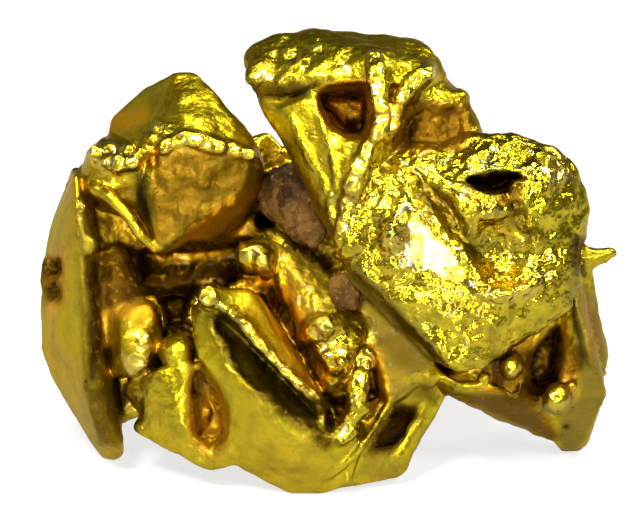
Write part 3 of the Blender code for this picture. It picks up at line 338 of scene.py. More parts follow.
# Dull khaki skin on what faces the viewer: outline in X and Z, how dull.
DULL = [
    ([(-3.33, 3.27), (-2.6, 3), (-2.2, 2.05), (-2.25, 1.05), (-2.75, 0.75), (-3.25, 1.3)], 0.6),
    ([(-5.55, 6.2), (-4.5, 6.2), (-4.35, 4.8), (-4.8, 4.35), (-5.55, 4.35)], 0.35),
    ([(-5.55, 4.35), (-4.8, 4.35), (-5.05, 3.55), (-5.55, 3.55)], 0.1),
    ([(5.15, 2.55), (5.1, 3.55), (6.17, 3.9), (6.6, 3.5), (6.45, 2.95), (6, 2.8),
      (5.5, 2.55)], 0.3),
    ([(-1.75, 10.55), (-0.75, 10.65), (0.05, 10.35), (-0.1, 10), (-0.5, 9.5),
      (-1.45, 9.7)], 0.15),
    ([(-1.2, 6.3), (0.3, 6.3), (0.55, 4.8), (-0.2, 4), (-0.75, 5.05)], 0.5),
    ([(2, 9.6), (3.65, 9.5), (3.55, 8.5), (1.9, 8.5)], 0.3),
    ([(-3.92, 5.92), (-2.4, 6.03), (-1.95, 6.7), (-1.85, 7.55), (-2.65, 7.3), (-3.5, 6.35)], 0.1),
    ([(-7, 5.05), (-6.85, 6.67), (-6.45, 7.42), (-6.05, 7.8), (-5.95, 5.8), (-5.75, 2.8),
      (-5.35, 1.3), (-5.4, 0.8), (-6.5, 2.3)], 0.22),
    ([(-2.3, 3.12), (-1.38, 2.35), (0.05, 1.3), (0.62, 0.8), (0, -0.07), (-3, 0.55),
      (-3.25, 1.8)], 0.22),
    ([(-3.6, 8.5), (-1.8, 8.35), (-1.9, 7.6), (-2.9, 6.95), (-3.9, 6.2), (-4.2, 6.9),
      (-4.2, 7.9)], 0.4),
    ([(0.62, 5.6), (1.5, 4.8), (2, 4.05), (2.5, 3.67), (2.75, 3.3), (2.7, 3), (2.38, 3),
      (2.2, 2.6), (1.73, 2.17), (1.65, 3), (1.25, 4.05), (0.9, 4.9)], 1),
    ([(1.77, 2.2), (2.42, 2.17), (2.48, 1.95), (2, 1.3), (1.88, 0.93), (1.15, 0.93),
      (1.4, 1.55)], 0.7),
    ([(2.1, 2.9), (2.65, 2.8), (3, 2.55), (2.8, 2.2), (2.25, 2.3)], 0.6),
    ([(3.9, 2.6), (5, 2.35), (6, 1.3), (5.62, 1.3), (3.85, 2.15)], 0.7),
    ([(1.15, 0.93), (1.95, 1), (2, 0.4), (0.75, 0.35)], 0.6),
    ([(6.3, 5.4), (7, 4.8), (7.25, 3.42), (7.1, 2.3), (6.8, 1.55), (6.5, 0.93), (6.05, 0.93),
      (6, 1.8), (6.5, 2.42), (6.4, 3.8)], 1),
    (band([(-5.85, 7.3), (-5.825, 5.925), (-5.725, 4.8), (-5.7, 3.55), (-5.65, 2.8), (-5.45, 2),
           (-5.25, 1.45)], 0.125), 0.8),
    (WING_BEAD, 0),
    (KNOB_FACE, 0),
]

# Nearly black on what faces the viewer, mostly painted shade in cavities, clefts and under
# ledges, partly iron staining: outline in X and Z, how dark.
SHADE_AND_STAINS = [
    ([(5.15, 2.6), (5.1, 3.5), (6.17, 3.9), (6.6, 3.5), (6.45, 2.95), (6, 2.8),
      (5.5, 2.6)], 0.85),
    ([(4.55, 2.7), (5.1, 2.8), (5.35, 2.5), (5.2, 2.25), (4.65, 2.35)], 0.7),
    (band([(-2.8, 4.45), (-2.65, 4.05), (-2.35, 3.425), (-2.05, 3), (-1.7, 2.55), (-1.375, 2.25),
           (-0.875, 1.875), (-0.4, 1.575), (0.025, 1.375)], 0.15), 0.2),
    ([(-5.9, 5.92), (-5.7, 5.92), (-5.65, 2.85), (-5.2, 1.35), (-5.4, 1.3), (-5.8, 2.7),
      (-5.9, 4.8)], 0.5),
    ([(-0.17, 10.25), (1.3, 10.25), (1.35, 8.8), (0.62, 8.75), (0.12, 9.1)], 0.22),
    ([(-5.55, 6.2), (-4.5, 6.2), (-4.25, 4.9), (-4.8, 4.65), (-5.55, 4.4)], 0.95),
    ([(-3.33, 2.8), (-3, 3.1), (-2.75, 2.42), (-2.35, 1.3), (-2.7, 0.85), (-3.1, 1.1)], 0.35),
    ([(4.5, 2.2), (4.8, 3.55), (6.17, 3.9), (6.6, 3.5), (6.4, 2.8), (5.62, 2.6),
      (5.25, 2)], 0.85),
    ([(-5.72, 2.85), (-5, 2.9), (-4.9, 2.3), (-5.05, 1.2), (-5.4, 1.4), (-5.65, 2.05)], 1),
    ([(1.15, 1.55), (1.77, 2.25), (2.48, 2.25), (2.52, 1.9), (2.3, 1.6), (1.95, 1.25),
      (1.75, 0.95), (1.1, 0.95)], 0.9),
    ([(-0.5, 2.42), (0.05, 2.67), (0.45, 2.3), (0.5, 1.3), (0.1, 1.15), (-0.45, 1.68)], 1),
    ([(-4.65, 7.92), (-4.28, 7.92), (-4.28, 6.75), (-4.5, 6.92)], 0.7),
    ([(-7, 5.9), (-6.4, 5.9), (-6.35, 4.75), (-6.9, 4.7), (-7.05, 5.3)], 0.75),
    ([(1.45, 3.85), (2.1, 4), (2.75, 3.25), (2.75, 2.8), (2.3, 3), (1.8, 3.25)], 0.3),
    ([(-4.9, 5.95), (-4.25, 5.75), (-3.25, 5.7), (-2.2, 5.8), (-1.75, 5.75), (-1.65, 5.25),
      (-2.1, 5.2), (-2.45, 5.33), (-2.9, 5.35), (-3.15, 5.15), (-3.23, 4.75), (-3.23, 3.85),
      (-4, 3.85), (-4.15, 4.75), (-4.85, 4.8)], 1),
    ([(-5.55, 4.45), (-4.8, 4.65), (-4.25, 4.9), (-4.1, 4.35), (-4.8, 3.9), (-5.55, 3.55)], 0.45),
    ([(-4.1, 4.85), (-3.25, 4.85), (-3.2, 3.95), (-3.9, 3.9)], 1),
    ([(-1.7, 7.05), (-1.1, 7.05), (-1.1, 6.3), (-1.7, 6.3)], 0.8),
    ([(-5.83, 5.8), (-5.45, 5.8), (-5.4, 2.7), (-5.75, 2.7)], 1),
    ([(-5.7, 2.8), (-4.95, 2.8), (-4.9, 1.3), (-5.5, 1.2)], 0.7),
    ([(3.4, 7.6), (4.3, 8.05), (5.03, 7.83), (4.8, 7.4), (4.38, 7.25)], 1),
    ([(4.5, 7.3), (4.9, 7.3), (5.3, 6.6), (5.5, 6.2), (5.2, 6.3), (4.7, 6.8)], 0.85),
    ([(2.1, 8), (2.62, 7.75), (3.15, 7.3), (3.75, 6.42), (3.8, 5.75), (3.4, 6), (2.95, 6.65),
      (2.35, 7.25)], 0.7),
    ([(-1.3, 3.1), (-0.25, 2.35), (0.25, 2.1), (0.3, 1.4), (-0.5, 1.75), (-1.45, 2.7)], 0),
    ([(0, 2.7), (0.38, 2.7), (0.4, 1.4), (0.1, 1.4)], 0.6),
    ([(1.8, 2.2), (2.45, 2.17), (2.4, 1.8), (1.9, 1.6)], 0.9),
    ([(6.2, 6.3), (6.6, 6.3), (6.6, 5.5), (6.2, 5.5)], 0.8),
    ([(5, 3.8), (6.2, 3.9), (6.15, 2.5), (5.2, 2.4)], 0.35),
    ([(0.5, 9.2), (1.3, 9.25), (1.2, 8.75), (0.7, 8.75)], 0.8),
    ([(-6.85, 5.75), (-6.45, 5.75), (-6.45, 4.9), (-6.85, 4.9)], 0.6),
    ([(-1.6, 10.2), (-1.3, 9.9), (-0.5, 9.82), (0.15, 10.05), (-0.1, 10.2), (-0.75, 10.05)], 0.5),
    ([(-4.55, 7.9), (-4.25, 7.85), (-4.2, 6.75), (-4.35, 6.8)], 0.85),
    ([(-3.5, 8.5), (-1.75, 8.3), (-1.9, 7.62), (-2.9, 6.95), (-3.88, 6.25), (-4.2, 6.95),
      (-4.15, 7.9)], 0.72),
    ([(-3.3, 2.85), (-2.98, 3.2), (-2.65, 2.42), (-2.3, 1.55), (-2.35, 1.1), (-2.7, 0.85),
      (-3.1, 1.1)], 0.45),
    ([(2.9, 2.73), (4, 2.52), (5, 2.4), (5.62, 2), (6.05, 1.4), (5.9, 1.12), (5, 1.68),
      (3.9, 2.17), (3.1, 2.38)], 0.75),
    ([(6.65, 4.55), (6.9, 4.5), (7, 3.5), (6.75, 3.5)], 0.4),
    ([(0.62, 5.6), (1.65, 4.67), (2.6, 3.67), (2.85, 3.25), (2.6, 3.5), (1.6, 4.45)], 0.4),
    ([(1.85, 9.65), (2.3, 9.8), (3.65, 9.65), (3.75, 9.1), (3.55, 8.45), (1.8, 8.45)], 0.85),
    (disc(-6.65, 5.6, 0.2749), 1),
    (disc(-6.65, 5.05, 0.2251), 1),
    ([(4.15, 3.5), (5.25, 3.65), (5.5, 2.7), (5.45, 2.2), (4.8, 2.25), (4.2, 2.65)], 0.9),
    (disc(5.875, 2.375, 0.475), 0.75),
    (disc(5.875, 2.375, 0.275), 0),
    (disc(4.725, 3.1, 0.3999), 0.75),
    (disc(4.725, 3.1, 0.1999), 0),
    (disc(-2.75, 4.925, 0.275), 0),
    ([(-1.75, 10.2), (-1.05, 10.25), (0, 10.3), (-0.15, 10), (-0.5, 9.65), (-1.45, 9.7)], 0.7),
    (band(LIP, 0.125), 0.9),
    (BROW_END, 0.4),
    (KNOB_FACE, 0),
    (CREST, 0.35),
]

# Where the solid's edges are worn soft: outline in X and Z, how soft.
SOFTENED = [
    ([(3.2, 5.2), (3.2, 6.7), (3.9, 7.1), (5, 7.1), (5.7, 6.5), (5.7, 5.3), (5, 4.85),
      (3.9, 4.8)], 0.85),
    ([(1.9, 8.5), (1.9, 9.6), (3.7, 9.7), (3.8, 8.6)], 0.95),
    ([(-0.3, 8.6), (-0.3, 10.2), (1.4, 10.3), (1.4, 8.6)], 0.5),
    ([(-5.6, 4.6), (-5.6, 6.1), (-1.7, 6.1), (-1.7, 4.6)], 1),
    ([(-4.2, 3.8), (-4.2, 4.9), (-3.1, 4.9), (-3.1, 3.8)], 0.9),
    ([(1.6, 0.9), (1.6, 2.3), (3, 2.3), (2.8, 0.9)], 0.8),
    ([(4.8, 2.3), (4.8, 4), (6.3, 4), (6.3, 2.3)], 0.7),
    ([(-3.5, 0.9), (-3.5, 3.4), (-2.1, 3.4), (-2.1, 0.9)], 0.75),
    ([(-2.9, 4.6), (-2.4, 4.6), (-1.2, 2.6), (0.2, 1.4), (-0.2, 1.1), (-1.9, 2.4)], 0.8),
    ([(-5.7, 2.9), (-5.7, 5), (-4, 5), (-4, 2.9)], 0.8),
    ([(0.6, 5.6), (2, 4.1), (2.8, 3.2), (2, 2.3), (1.3, 2.6), (0.7, 4.4)], 0.6),
    (band(LIP, 0.225), 0.95),
    ([(-1.2, 5.05), (-0.5, 5.25), (-0.05, 3.8), (0.25, 2.67), (-0.2, 2.5), (-0.8, 3.55)], 0.7),
]

# Rows of small crystals on the surface: path (X, Z, half-width), gap between them.
BEADED = [
    ([(1.33, 10.6, 0.17), (1.4, 10.05, 0.19), (1.5, 9.5, 0.17), (1.42, 9, 0.16),
      (1.15, 8.4, 0.18), (0.95, 8, 0.19), (0.8, 7.5, 0.17), (0.62, 6.8, 0.16)], 0.3),
    ([(2.6, 10.38, 0.15), (2.35, 10.2, 0.17), (2.05, 9.8, 0.14), (1.88, 9.3, 0.14),
      (1.65, 8.8, 0.14)], 0.27),
    ([(-3.45, 8.8, 0.14), (-3.1, 8.78, 0.16), (-2.65, 8.62, 0.17), (-2.2, 8.55, 0.15),
      (-1.75, 8.42, 0.14)], 0.25),
    ([(-5.55, 8.5, 0.15), (-5.35, 8.3, 0.18), (-5, 8.22, 0.17), (-4.62, 8.25, 0.15),
      (-4.35, 8.55, 0.14), (-4.2, 8.8, 0.15)], 0.27),
    ([(-4.05, 9.12, 0.14), (-3.75, 9.02, 0.15), (-3.76, 8.7, 0.14), (-3.9, 8.4, 0.13)], 0.25),
    ([(-5.35, 8.62, 0.13), (-4.9, 8.5, 0.14), (-4.55, 8.62, 0.13)], 0.28),
    ([(-1.6, 10.3, 0.18), (-1.2, 10.2, 0.16), (-0.7, 10.3, 0.15)], 0.34),
    ([(2.2, 7.5, 0.13), (2.3, 7.1, 0.14)], 0.28),
    ([(-0.05, 3.9, 0.13), (0.05, 3.4, 0.14), (0.1, 2.9, 0.12)], 0.26),
    ([(-0.3, 3.95, 0.14), (0.1, 4.2, 0.16), (0.45, 4.28, 0.14)], 0.13),
    ([(1.05, 4.2, 0.14), (0.75, 3.65, 0.15), (0.4, 3.15, 0.14), (0.3, 2.8, 0.12)], 0.12),
    ([(0.35, 3.95, 0.14), (0.6, 3.3, 0.14), (0.7, 2.7, 0.13)], 0.15),
    ([(1.18, 3.5, 0.15), (1.08, 3.1, 0.18), (0.98, 2.7, 0.18), (0.88, 2.2, 0.15)], 0.12),
    ([(0.8, 1.98, 0.13), (0.66, 1.62, 0.16), (0.5, 1.45, 0.17)], 0.14),
    ([(-1.85, 5.92, 0.2), (-1.55, 5.8, 0.22), (-1.3, 5.5, 0.18)], 0.16),
    ([(-0.85, 6.05, 0.15), (-0.3, 5.9, 0.17), (0.1, 5.5, 0.15)], 0.2),
    ([(-0.65, 5.5, 0.15), (-0.25, 5, 0.16), (-0.1, 4.5, 0.15)], 0.22),
    ([(5.35, 8.3, 0.11), (5.75, 8.15, 0.13), (5.95, 7.8, 0.11)], 0.17),
    ([(3.65, 8.25, 0.12), (4.25, 8.35, 0.12)], 0.17),
    ([(3.9, 5.02, 0.1), (4.4, 4.92, 0.11), (5, 5.08, 0.1), (5.3, 5.25, 0.09)], 0.17),
    ([(1.7, 6.6, 0.12), (1.72, 6, 0.12)], 0.17),
    ([(4.1, 7.05, 0.1), (4.35, 6.95, 0.1)], 0.14),
    ([(-3.5, 7.9, 0.09), (-2.6, 7.6, 0.09), (-2.9, 7, 0.09), (-3.6, 6.9, 0.09)], 0.32),
    ([(0, 3.6, 0.13), (0.25, 3.2, 0.14), (0.45, 2.7, 0.13)], 0.13),
    ([(1.2, 4.2, 0.13), (1.3, 3.8, 0.13), (1.25, 3.3, 0.12)], 0.15),
]

# Beads and ridges of metal laid on the surface: points (X, Z, radius), how far they stand proud.
LAID = [
    ([(5.86, 2.34, 0.33), (5.94, 2.36, 0.34)], 0.75),
    ([(6.26, 2.68, 0.12), (6.3, 2.7, 0.13)], 0.6),
    ([(2.7, 2.98, 0.3), (2.78, 2.98, 0.3)], 0.3),
    ([(-2.74, 4.9, 0.27), (-2.76, 4.9, 0.27)], 0.45),
    ([(-0.45, 3.95, 0.26), (0.1, 4.05, 0.34), (0.6, 4, 0.32), (1, 3.95, 0.26)], 0.3),
    ([(0.15, 3.75, 0.3), (0.4, 3.3, 0.34), (0.55, 2.9, 0.28)], 0.3),
    ([(0.85, 3.6, 0.26), (0.8, 3.1, 0.32), (0.8, 2.6, 0.26)], 0.3),
    ([(-1, 4.85, 0.26), (-0.72, 4.25, 0.28), (-0.45, 3.6, 0.26), (-0.15, 2.9, 0.2)], 0.12),
]

# Small crystal facets on what faces the viewer: where in X and Z, by half-width.
FACETS = {
    0.2: [(0.97, 8.1), (0.82, 7.7), (-1.43, 10.38), (-2.75, 4.92), (-1.8, 5.9)],
    0.17: [(1.38, 10), (1.5, 9.6), (1.52, 9.22), (1.38, 8.88), (1.18, 8.5), (-4.33, 3.8),
           (-4.4, 3.52), (-4.5, 3.25)],
    0.16: [(-5.53, 8.43), (-5.28, 8.25), (-4.97, 8.18)],
    0.15: [(1.32, 10.78), (1.43, 10.38), (0.65, 7.2), (0.53, 6.6), (5.83, 2.48), (5.53, 8.28),
           (5.78, 8.15), (5.92, 7.9), (5.65, 7.92), (-0.17, 4.03), (0.12, 4.2), (0.42, 4.3),
           (1.15, 3.3), (1, 2.9), (0.57, 1.57)],
    0.14: [(2.65, 10.45), (2.33, 10.2), (2.02, 9.8), (1.88, 9.45), (1.8, 9.1), (-4.67, 8.25),
           (-5.17, 8.55), (-4.8, 8.47), (-3.45, 8.78), (-3.1, 8.78), (-2.75, 8.65)],
    0.12: [(-3.98, 9.12), (-3.73, 9), (-3.77, 8.65), (-2.45, 8.6), (-2.1, 8.55), (-1.77, 8.4),
           (-0.7, 10.9), (0.6, 10.75), (-0.05, 11.05), (-0.38, 10.65), (4.67, 3.17), (4, 8.35),
           (3.75, 8.22), (-1.45, 5.75), (0.28, 3.25), (0.53, 3.55), (0.8, 3.83), (0.88, 2.45),
           (0.05, 3.67)],
    0.11: [(-2.1, 4.55), (-1.77, 4.15), (-1.5, 3.77), (-1.18, 3.42), (-0.85, 3.1), (-0.5, 2.77),
           (-0.2, 2.5), (-0.2, 8.93), (0.05, 8.25), (0.33, 7.3)],
    0.09: [(-5.88, 7.17), (-5.92, 6.85)],
}

# Metal that fills a fold: points (X, Y, Z, radius).
FILLS = [
    [(-5.2, 0.35, 6.15, 0.38), (-5.12, 0, 5.4, 0.5), (-5, -0.22, 4.7, 0.54),
     (-4.88, -0.44, 4, 0.56), (-4.72, -0.72, 3.42, 0.58)],
    [(1.95, -0.98, 9, 0.5), (2.75, -0.98, 9.06, 0.6), (3.55, -0.92, 9.12, 0.52)],
    [(-4.32, -0.45, 3.15, 0.48), (-4.36, -0.42, 2.5, 0.52), (-4.42, -0.3, 2.02, 0.46)],
    [(-3.98, 0.2, 3.9, 0.3), (-3.6, 0.3, 3.72, 0.28), (-3.2, 0.2, 3.8, 0.26)],
    [(2.1, -1, 8.78, 0.4), (2.8, -1, 8.8, 0.42), (3.5, -0.95, 8.85, 0.4)],
]


def face_on(points):
    """Standing metres to face-on millimetres: take off the stand's place, turn by the lean."""
    return (points / MM - STAND) @ TURN.T


def standing(spots):
    """Face-on millimetres to standing metres, the reverse of face_on."""
    return (spots @ TURN + STAND) * MM


def scattered(cell, seed):
    """A number from 0 to 255 for each whole-number cell, by multiplying and folding bits."""
    mixed = cell[:, 0] * 374761393 + cell[:, 1] * 668265263 + cell[:, 2] * 1440662683
    mixed = (mixed + seed * 2654435761) & 0xFFFFFFFF
    mixed = ((mixed ^ (mixed >> 15)) * 2246822519) & 0xFFFFFFFF
    mixed = ((mixed ^ (mixed >> 13)) * 3266489917) & 0xFFFFFFFF
    return (mixed ^ (mixed >> 16)) & 255


def noise(spots, size, seed):
    """Gradient noise: the slopes at a cell's eight corners, eased across it. About -1 to 1."""
    slopes = np.random.default_rng(seed).normal(size=(256, 3))
    slopes /= np.linalg.norm(slopes, axis=1, keepdims=True)
    place = spots / size
    cell = np.floor(place).astype(np.int64)
    part = place - cell
    ease = part ** 3 * (part * (part * 6 - 15) + 10)
    total = np.zeros(len(spots))
    for corner in product((0, 1), repeat=3):
        share = np.where(np.array(corner) == 1, ease, 1 - ease).prod(axis=1)
        slope = slopes[scattered(cell + np.array(corner), seed)]
        total += share * ((part - np.array(corner)) * slope).sum(axis=1)
    return total * NOISE_GAIN


def rolling(spots, size, seed, octaves=3):
    """Gradient noise added to itself at half the size and half the height each time."""
    return sum(noise(spots, size / 2 ** n, seed + n) / 2 ** n for n in range(octaves))


def pebbles(spots, size, seed, reach=0.6, deepest=1.6):
    """Domes round one scattered point per cell: one less the squared distance to the nearest
    over its reach, and no deeper than the deepest."""
    jitter = np.random.default_rng(seed).uniform(0.1, 0.9, size=(256, 3))
    place = spots / size
    cell = np.floor(place).astype(np.int64)
    nearest = np.full(len(spots), 9.0)
    for step in product((-1, 0, 1), repeat=3):
        other = cell + np.array(step)
        gap = other + jitter[scattered(other, seed)] - place
        nearest = np.minimum(nearest, (gap * gap).sum(axis=1))
    return 1 - np.minimum(nearest / reach, deepest)


def along(spots, path):
    """For each spot, how many half-widths it is from the path and how far along it is."""
    stops = np.array(path, float)
    flat = spots[:, [0, 2]]
    best = np.full(len(spots), 1e9)
    reach = np.zeros(len(spots))
    run = 0.0
    for start, end in zip(stops[:-1], stops[1:]):
        leg = end[:2] - start[:2]
        length = np.linalg.norm(leg)
        share = np.clip(((flat - start[:2]) @ leg) / length ** 2, 0, 1)
        gap = np.linalg.norm(flat - start[:2] - share[:, None] * leg, axis=1)
        gap /= start[2] + share * (end[2] - start[2])
        closer = gap < best
        best = np.where(closer, gap, best)
        reach = np.where(closer, run + share * length, reach)
        run += length
    return best, reach


def within(spots, outline, soft):
    """1 inside an outline in X and Z, easing to 0 over a soft border: crossings give the side
    of a spot, and the nearest edge its distance."""
    here = np.array(outline, float)
    after = np.roll(here, -1, axis=0)
    flat = spots[:, [0, 2]]
    inside = np.zeros(len(spots), bool)
    gap = np.full(len(spots), 1e9)
    for start, end in zip(here, after):
        leg = end - start
        share = np.clip(((flat - start) @ leg) / (leg @ leg), 0, 1)
        gap = np.minimum(gap, np.linalg.norm(flat - start - share[:, None] * leg, axis=1))
        spans = (start[1] > flat[:, 1]) != (end[1] > flat[:, 1])
        rise = end[1] - start[1] if end[1] != start[1] else 1e-9
        inside ^= spans & (flat[:, 0] < start[0] + (flat[:, 1] - start[1]) / rise * leg[0])
    signed = np.where(inside, gap, -gap)
    return np.clip(signed / soft + 0.5, 0, 1)


def nearby(spots, places, margin):
    """Which spots lie in the box round some places in X and Z."""
    flat = np.array([place[:2] for place in places])
    here = spots[:, [0, 2]]
    return ((here > flat.min(axis=0) - margin) & (here < flat.max(axis=0) + margin)).all(axis=1)


def skyline(spots, direction, cell=0.12):
    """How far each spot lies behind the foremost one in its cell, looking against direction."""
    side = np.cross(direction, ASKEW)
    side /= np.linalg.norm(side)
    up = np.cross(side, direction)
    columns = np.floor((spots @ side) / cell).astype(np.int64)
    rows = np.floor((spots @ up) / cell).astype(np.int64)
    columns -= columns.min()
    rows -= rows.min()
    height = spots @ direction
    front = np.full((columns.max() + 3, rows.max() + 3), -1e9)
    np.maximum.at(front, (columns + 1, rows + 1), height)
    return front[columns + 1, rows + 1] - height


def openness(spots, normals, rays=48, grazing=0.08, clearance=0.22):
    """How much of the half-space over each spot is free: over rays spread on a sphere, the
    share that leave without meeting another part, each weighted by its cosine. Grazing rays
    count for nothing, and a clearance in millimetres keeps the skin from shading itself."""
    turn = np.arange(rays) + 0.5
    level = 1 - 2 * turn / rays
    angle = turn * math.pi * (1 + 5 ** 0.5)
    ring = np.sqrt(1 - level ** 2)
    rays_at = np.stack([ring * np.cos(angle), ring * np.sin(angle), level], axis=1)
    free = np.zeros(len(spots))
    total = np.full(len(spots), 1e-6)
    for ray in rays_at:
        weight = np.clip(normals @ ray, 0, 1)
        weight[weight < grazing] = 0
        free += weight * (skyline(spots, ray) < clearance)
        total += weight
    return free / total


def arrays(mesh):
    """The mesh's points and its points' normals, as two arrays."""
    points = np.empty(len(mesh.vertices) * 3, np.float32)
    mesh.vertices.foreach_get("co", points)
    normals = np.empty(len(mesh.vertices) * 3, np.float32)
    mesh.vertices.foreach_get("normal", normals)
    return points.reshape(-1, 3).astype(float), normals.reshape(-1, 3).astype(float)


def placed(mesh, points):
    """Puts the points into the mesh."""
    mesh.vertices.foreach_set("co", points.astype(np.float32).ravel())
    mesh.update()
    return mesh


def remember(mesh, name, values):
    """Keeps one number per point in the mesh, for its material."""
    kept = mesh.attributes.get(name) or mesh.attributes.new(name, "FLOAT", "POINT")
    kept.data.foreach_set("value", values.astype(np.float32))


def modified(mesh, *steps):
    """The mesh after modifiers, each given as its type and settings."""
    carrier = bpy.data.objects.new("carrier", mesh)
    bpy.context.scene.collection.objects.link(carrier)
    for kind, settings in steps:
        modifier = carrier.modifiers.new(kind.lower(), kind)
        for name, value in settings.items():
            setattr(modifier, name, value)
    graph = bpy.context.evaluated_depsgraph_get()
    made = bpy.data.meshes.new_from_object(carrier.evaluated_get(graph))
    bpy.data.objects.remove(carrier)
    return made


def melted(mesh, voxel, rounds):
    """The mesh melted into one closed surface by cells of a size, then smoothed in rounds."""
    return modified(mesh, ("REMESH", {"mode": "VOXEL", "voxel_size": voxel * MM}),
                    ("SMOOTH", {"factor": SMOOTHING, "iterations": rounds}))


def merged_copy(node):
    """A copy of a CAD node's mesh with its loose triangles joined."""
    joined = bmesh.new()
    joined.from_mesh(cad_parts[node].data)
    bmesh.ops.remove_doubles(joined, verts=joined.verts, dist=1e-7)
    mesh = bpy.data.meshes.new(node + "_copy")
    joined.to_mesh(mesh)
    joined.free()
    return mesh


def tube(path, sides=10, step=0.06):
    """A rounded tube: rings of its half-width, resampled along the path, closed to a point."""
    stops = np.array(path, float)
    run = np.concatenate([[0], np.cumsum(np.linalg.norm(np.diff(stops[:, :3], axis=0), axis=1))])
    count = max(int(run[-1] / step), 4)
    at = np.linspace(0, run[-1], count)
    line = np.stack([np.interp(at, run, stops[:, axis]) for axis in range(4)], axis=1)
    ends = np.sqrt(np.clip(np.minimum(at, run[-1] - at) / np.maximum(line[:, 3], 1e-6), 0.02, 1))
    tangent = np.gradient(line[:, :3], axis=0)
    tangent /= np.linalg.norm(tangent, axis=1, keepdims=True)
    across = np.cross(tangent, [0.0, 1.0, 0.05])
    across /= np.linalg.norm(across, axis=1, keepdims=True)
    over = np.cross(across, tangent)
    angle = np.linspace(0, 2 * math.pi, sides, endpoint=False)
    rim = (np.cos(angle)[None, :, None] * across[:, None]
           + np.sin(angle)[None, :, None] * over[:, None])
    grid = line[:, None, :3] + rim * (line[:, 3] * ends)[:, None, None]
    return closed_grid(grid)


def ellipsoid(centre, radii, rings=10, sides=14):
    """A sphere's latitudes and longitudes, stretched by the radii."""
    level = np.linspace(0.02, 0.98, rings) * math.pi
    angle = np.linspace(0, 2 * math.pi, sides, endpoint=False)
    grid = np.stack([np.sin(level)[:, None] * np.cos(angle)[None],
                     np.sin(level)[:, None] * np.sin(angle)[None],
                     np.cos(level)[:, None] * np.ones(sides)[None]], axis=2)
    return closed_grid(grid * np.array(radii) + np.array(centre))


def octahedron(centre, radii, dice):
    """The six points of an octahedron, stretched by the radii and turned any way."""
    turn = np.linalg.qr(dice.normal(size=(3, 3)))[0]
    points = np.concatenate([np.diag(radii), -np.diag(radii)]) @ turn + np.array(centre)
    return points, [list(face) for face in product((0, 3), (1, 4), (2, 5))]


def closed_grid(grid):
    """A grid of rings as points and faces, with a point to close each end."""
    rings, sides = grid.shape[:2]
    points = np.concatenate([grid.reshape(-1, 3), grid[:1].mean(axis=1), grid[-1:].mean(axis=1)])
    row = np.arange(rings - 1)[:, None] * sides
    here = np.arange(sides)[None]
    after = (here + 1) % sides
    quads = np.stack([row + here, row + after, row + sides + after, row + sides + here], axis=2)
    fan = [np.stack([np.full(sides, rings * sides), after[0], here[0]], axis=1),
           np.stack([np.full(sides, rings * sides + 1), here[0] + (rings - 1) * sides,
                     after[0] + (rings - 1) * sides], axis=1)]
    return points, quads.reshape(-1, 4).tolist() + np.concatenate(fan).tolist()


def grown_together(mesh, growths):
    """The mesh and the face-on growths in one mesh, each closed and facing outwards."""
    joined = bmesh.new()
    joined.from_mesh(mesh)
    for points, faces in growths:
        extra = bpy.data.meshes.new("growth")
        extra.from_pydata(standing(points).tolist(), [], faces)
        single = bmesh.new()
        single.from_mesh(extra)
        bmesh.ops.recalc_face_normals(single, faces=single.faces)
        single.to_mesh(extra)
        single.free()
        joined.from_mesh(extra)
    made = bpy.data.meshes.new("grown")
    joined.to_mesh(made)
    joined.free()
    return made


def foremost(spots, facing, slack):
    """1 for what is foremost from the front and turned that way, easing to 0 behind it."""
    behind = skyline(spots, VIEWER)
    return np.clip(1.5 - behind / slack, 0, 1) * np.clip(0.8 - 1.6 * facing[:, 1], 0, 1)


def laid_over(spots, start, patches, share, soft, near_ease=0.2, far_ease=0.3):
    """The starting level with each patch's level laid over it, eased over its border and, in
    depth, behind its near side and before its far side."""
    level = start.copy()
    for outline, (near, far), value in patches:
        here = nearby(spots, outline, soft)
        some = spots[here]
        part = within(some, outline, soft) * share[here]
        part *= np.clip((some[:, 1] - near) / near_ease, 0, 1)
        part *= np.clip((far - some[:, 1]) / far_ease, 0, 1)
        level[here] += part * (value - level[here])
    return level


def roughened(spots, front):
    """How rough the skin is at each spot: a ground level that drifts where it is turned away
    from the front, then each ground laid over it, and the raised strokes and the rows of
    crystals at least as rough as a bell of the distance from their paths."""
    ground = GROUND_LEVEL + (1 - front) * 0.45 * noise(spots, size=2.6, seed=71)
    everywhere = np.ones(len(spots))
    rough = laid_over(spots, np.clip(ground, 0.08, 0.9), GROUNDS, everywhere, soft=0.3)
    for path, tall, _ in STROKES:
        here = nearby(spots, path, margin=0.6)
        bell = np.exp(-along(spots[here], path)[0] ** 2) * front[here] * (tall > 0.04)
        rough[here] = np.maximum(rough[here], bell * EDGE_ROUGHNESS)
    for path, _ in BEADED:
        here = nearby(spots, path, margin=0.4)
        bell = np.exp(-(along(spots[here], path)[0] / 1.6) ** 4) * front[here]
        rough[here] = np.maximum(rough[here], bell * EDGE_ROUGHNESS)
    return rough


def painted(spots, share, patches, soft=0.12):
    """Levels of tint from outlines that hold at any depth, on what the share marks."""
    wide = [(outline, (-99, 99), value) for outline, value in patches]
    return laid_over(spots, np.zeros(len(spots)), wide, share, soft)


def softened(spots, facing, worn):
    """The spots moved towards their well smoothed places, by how soft each patch is."""
    share = painted(spots, foremost(spots, facing, slack=1.5), SOFTENED, soft=0.5)
    return spots + (worn - spots) * share[:, None]


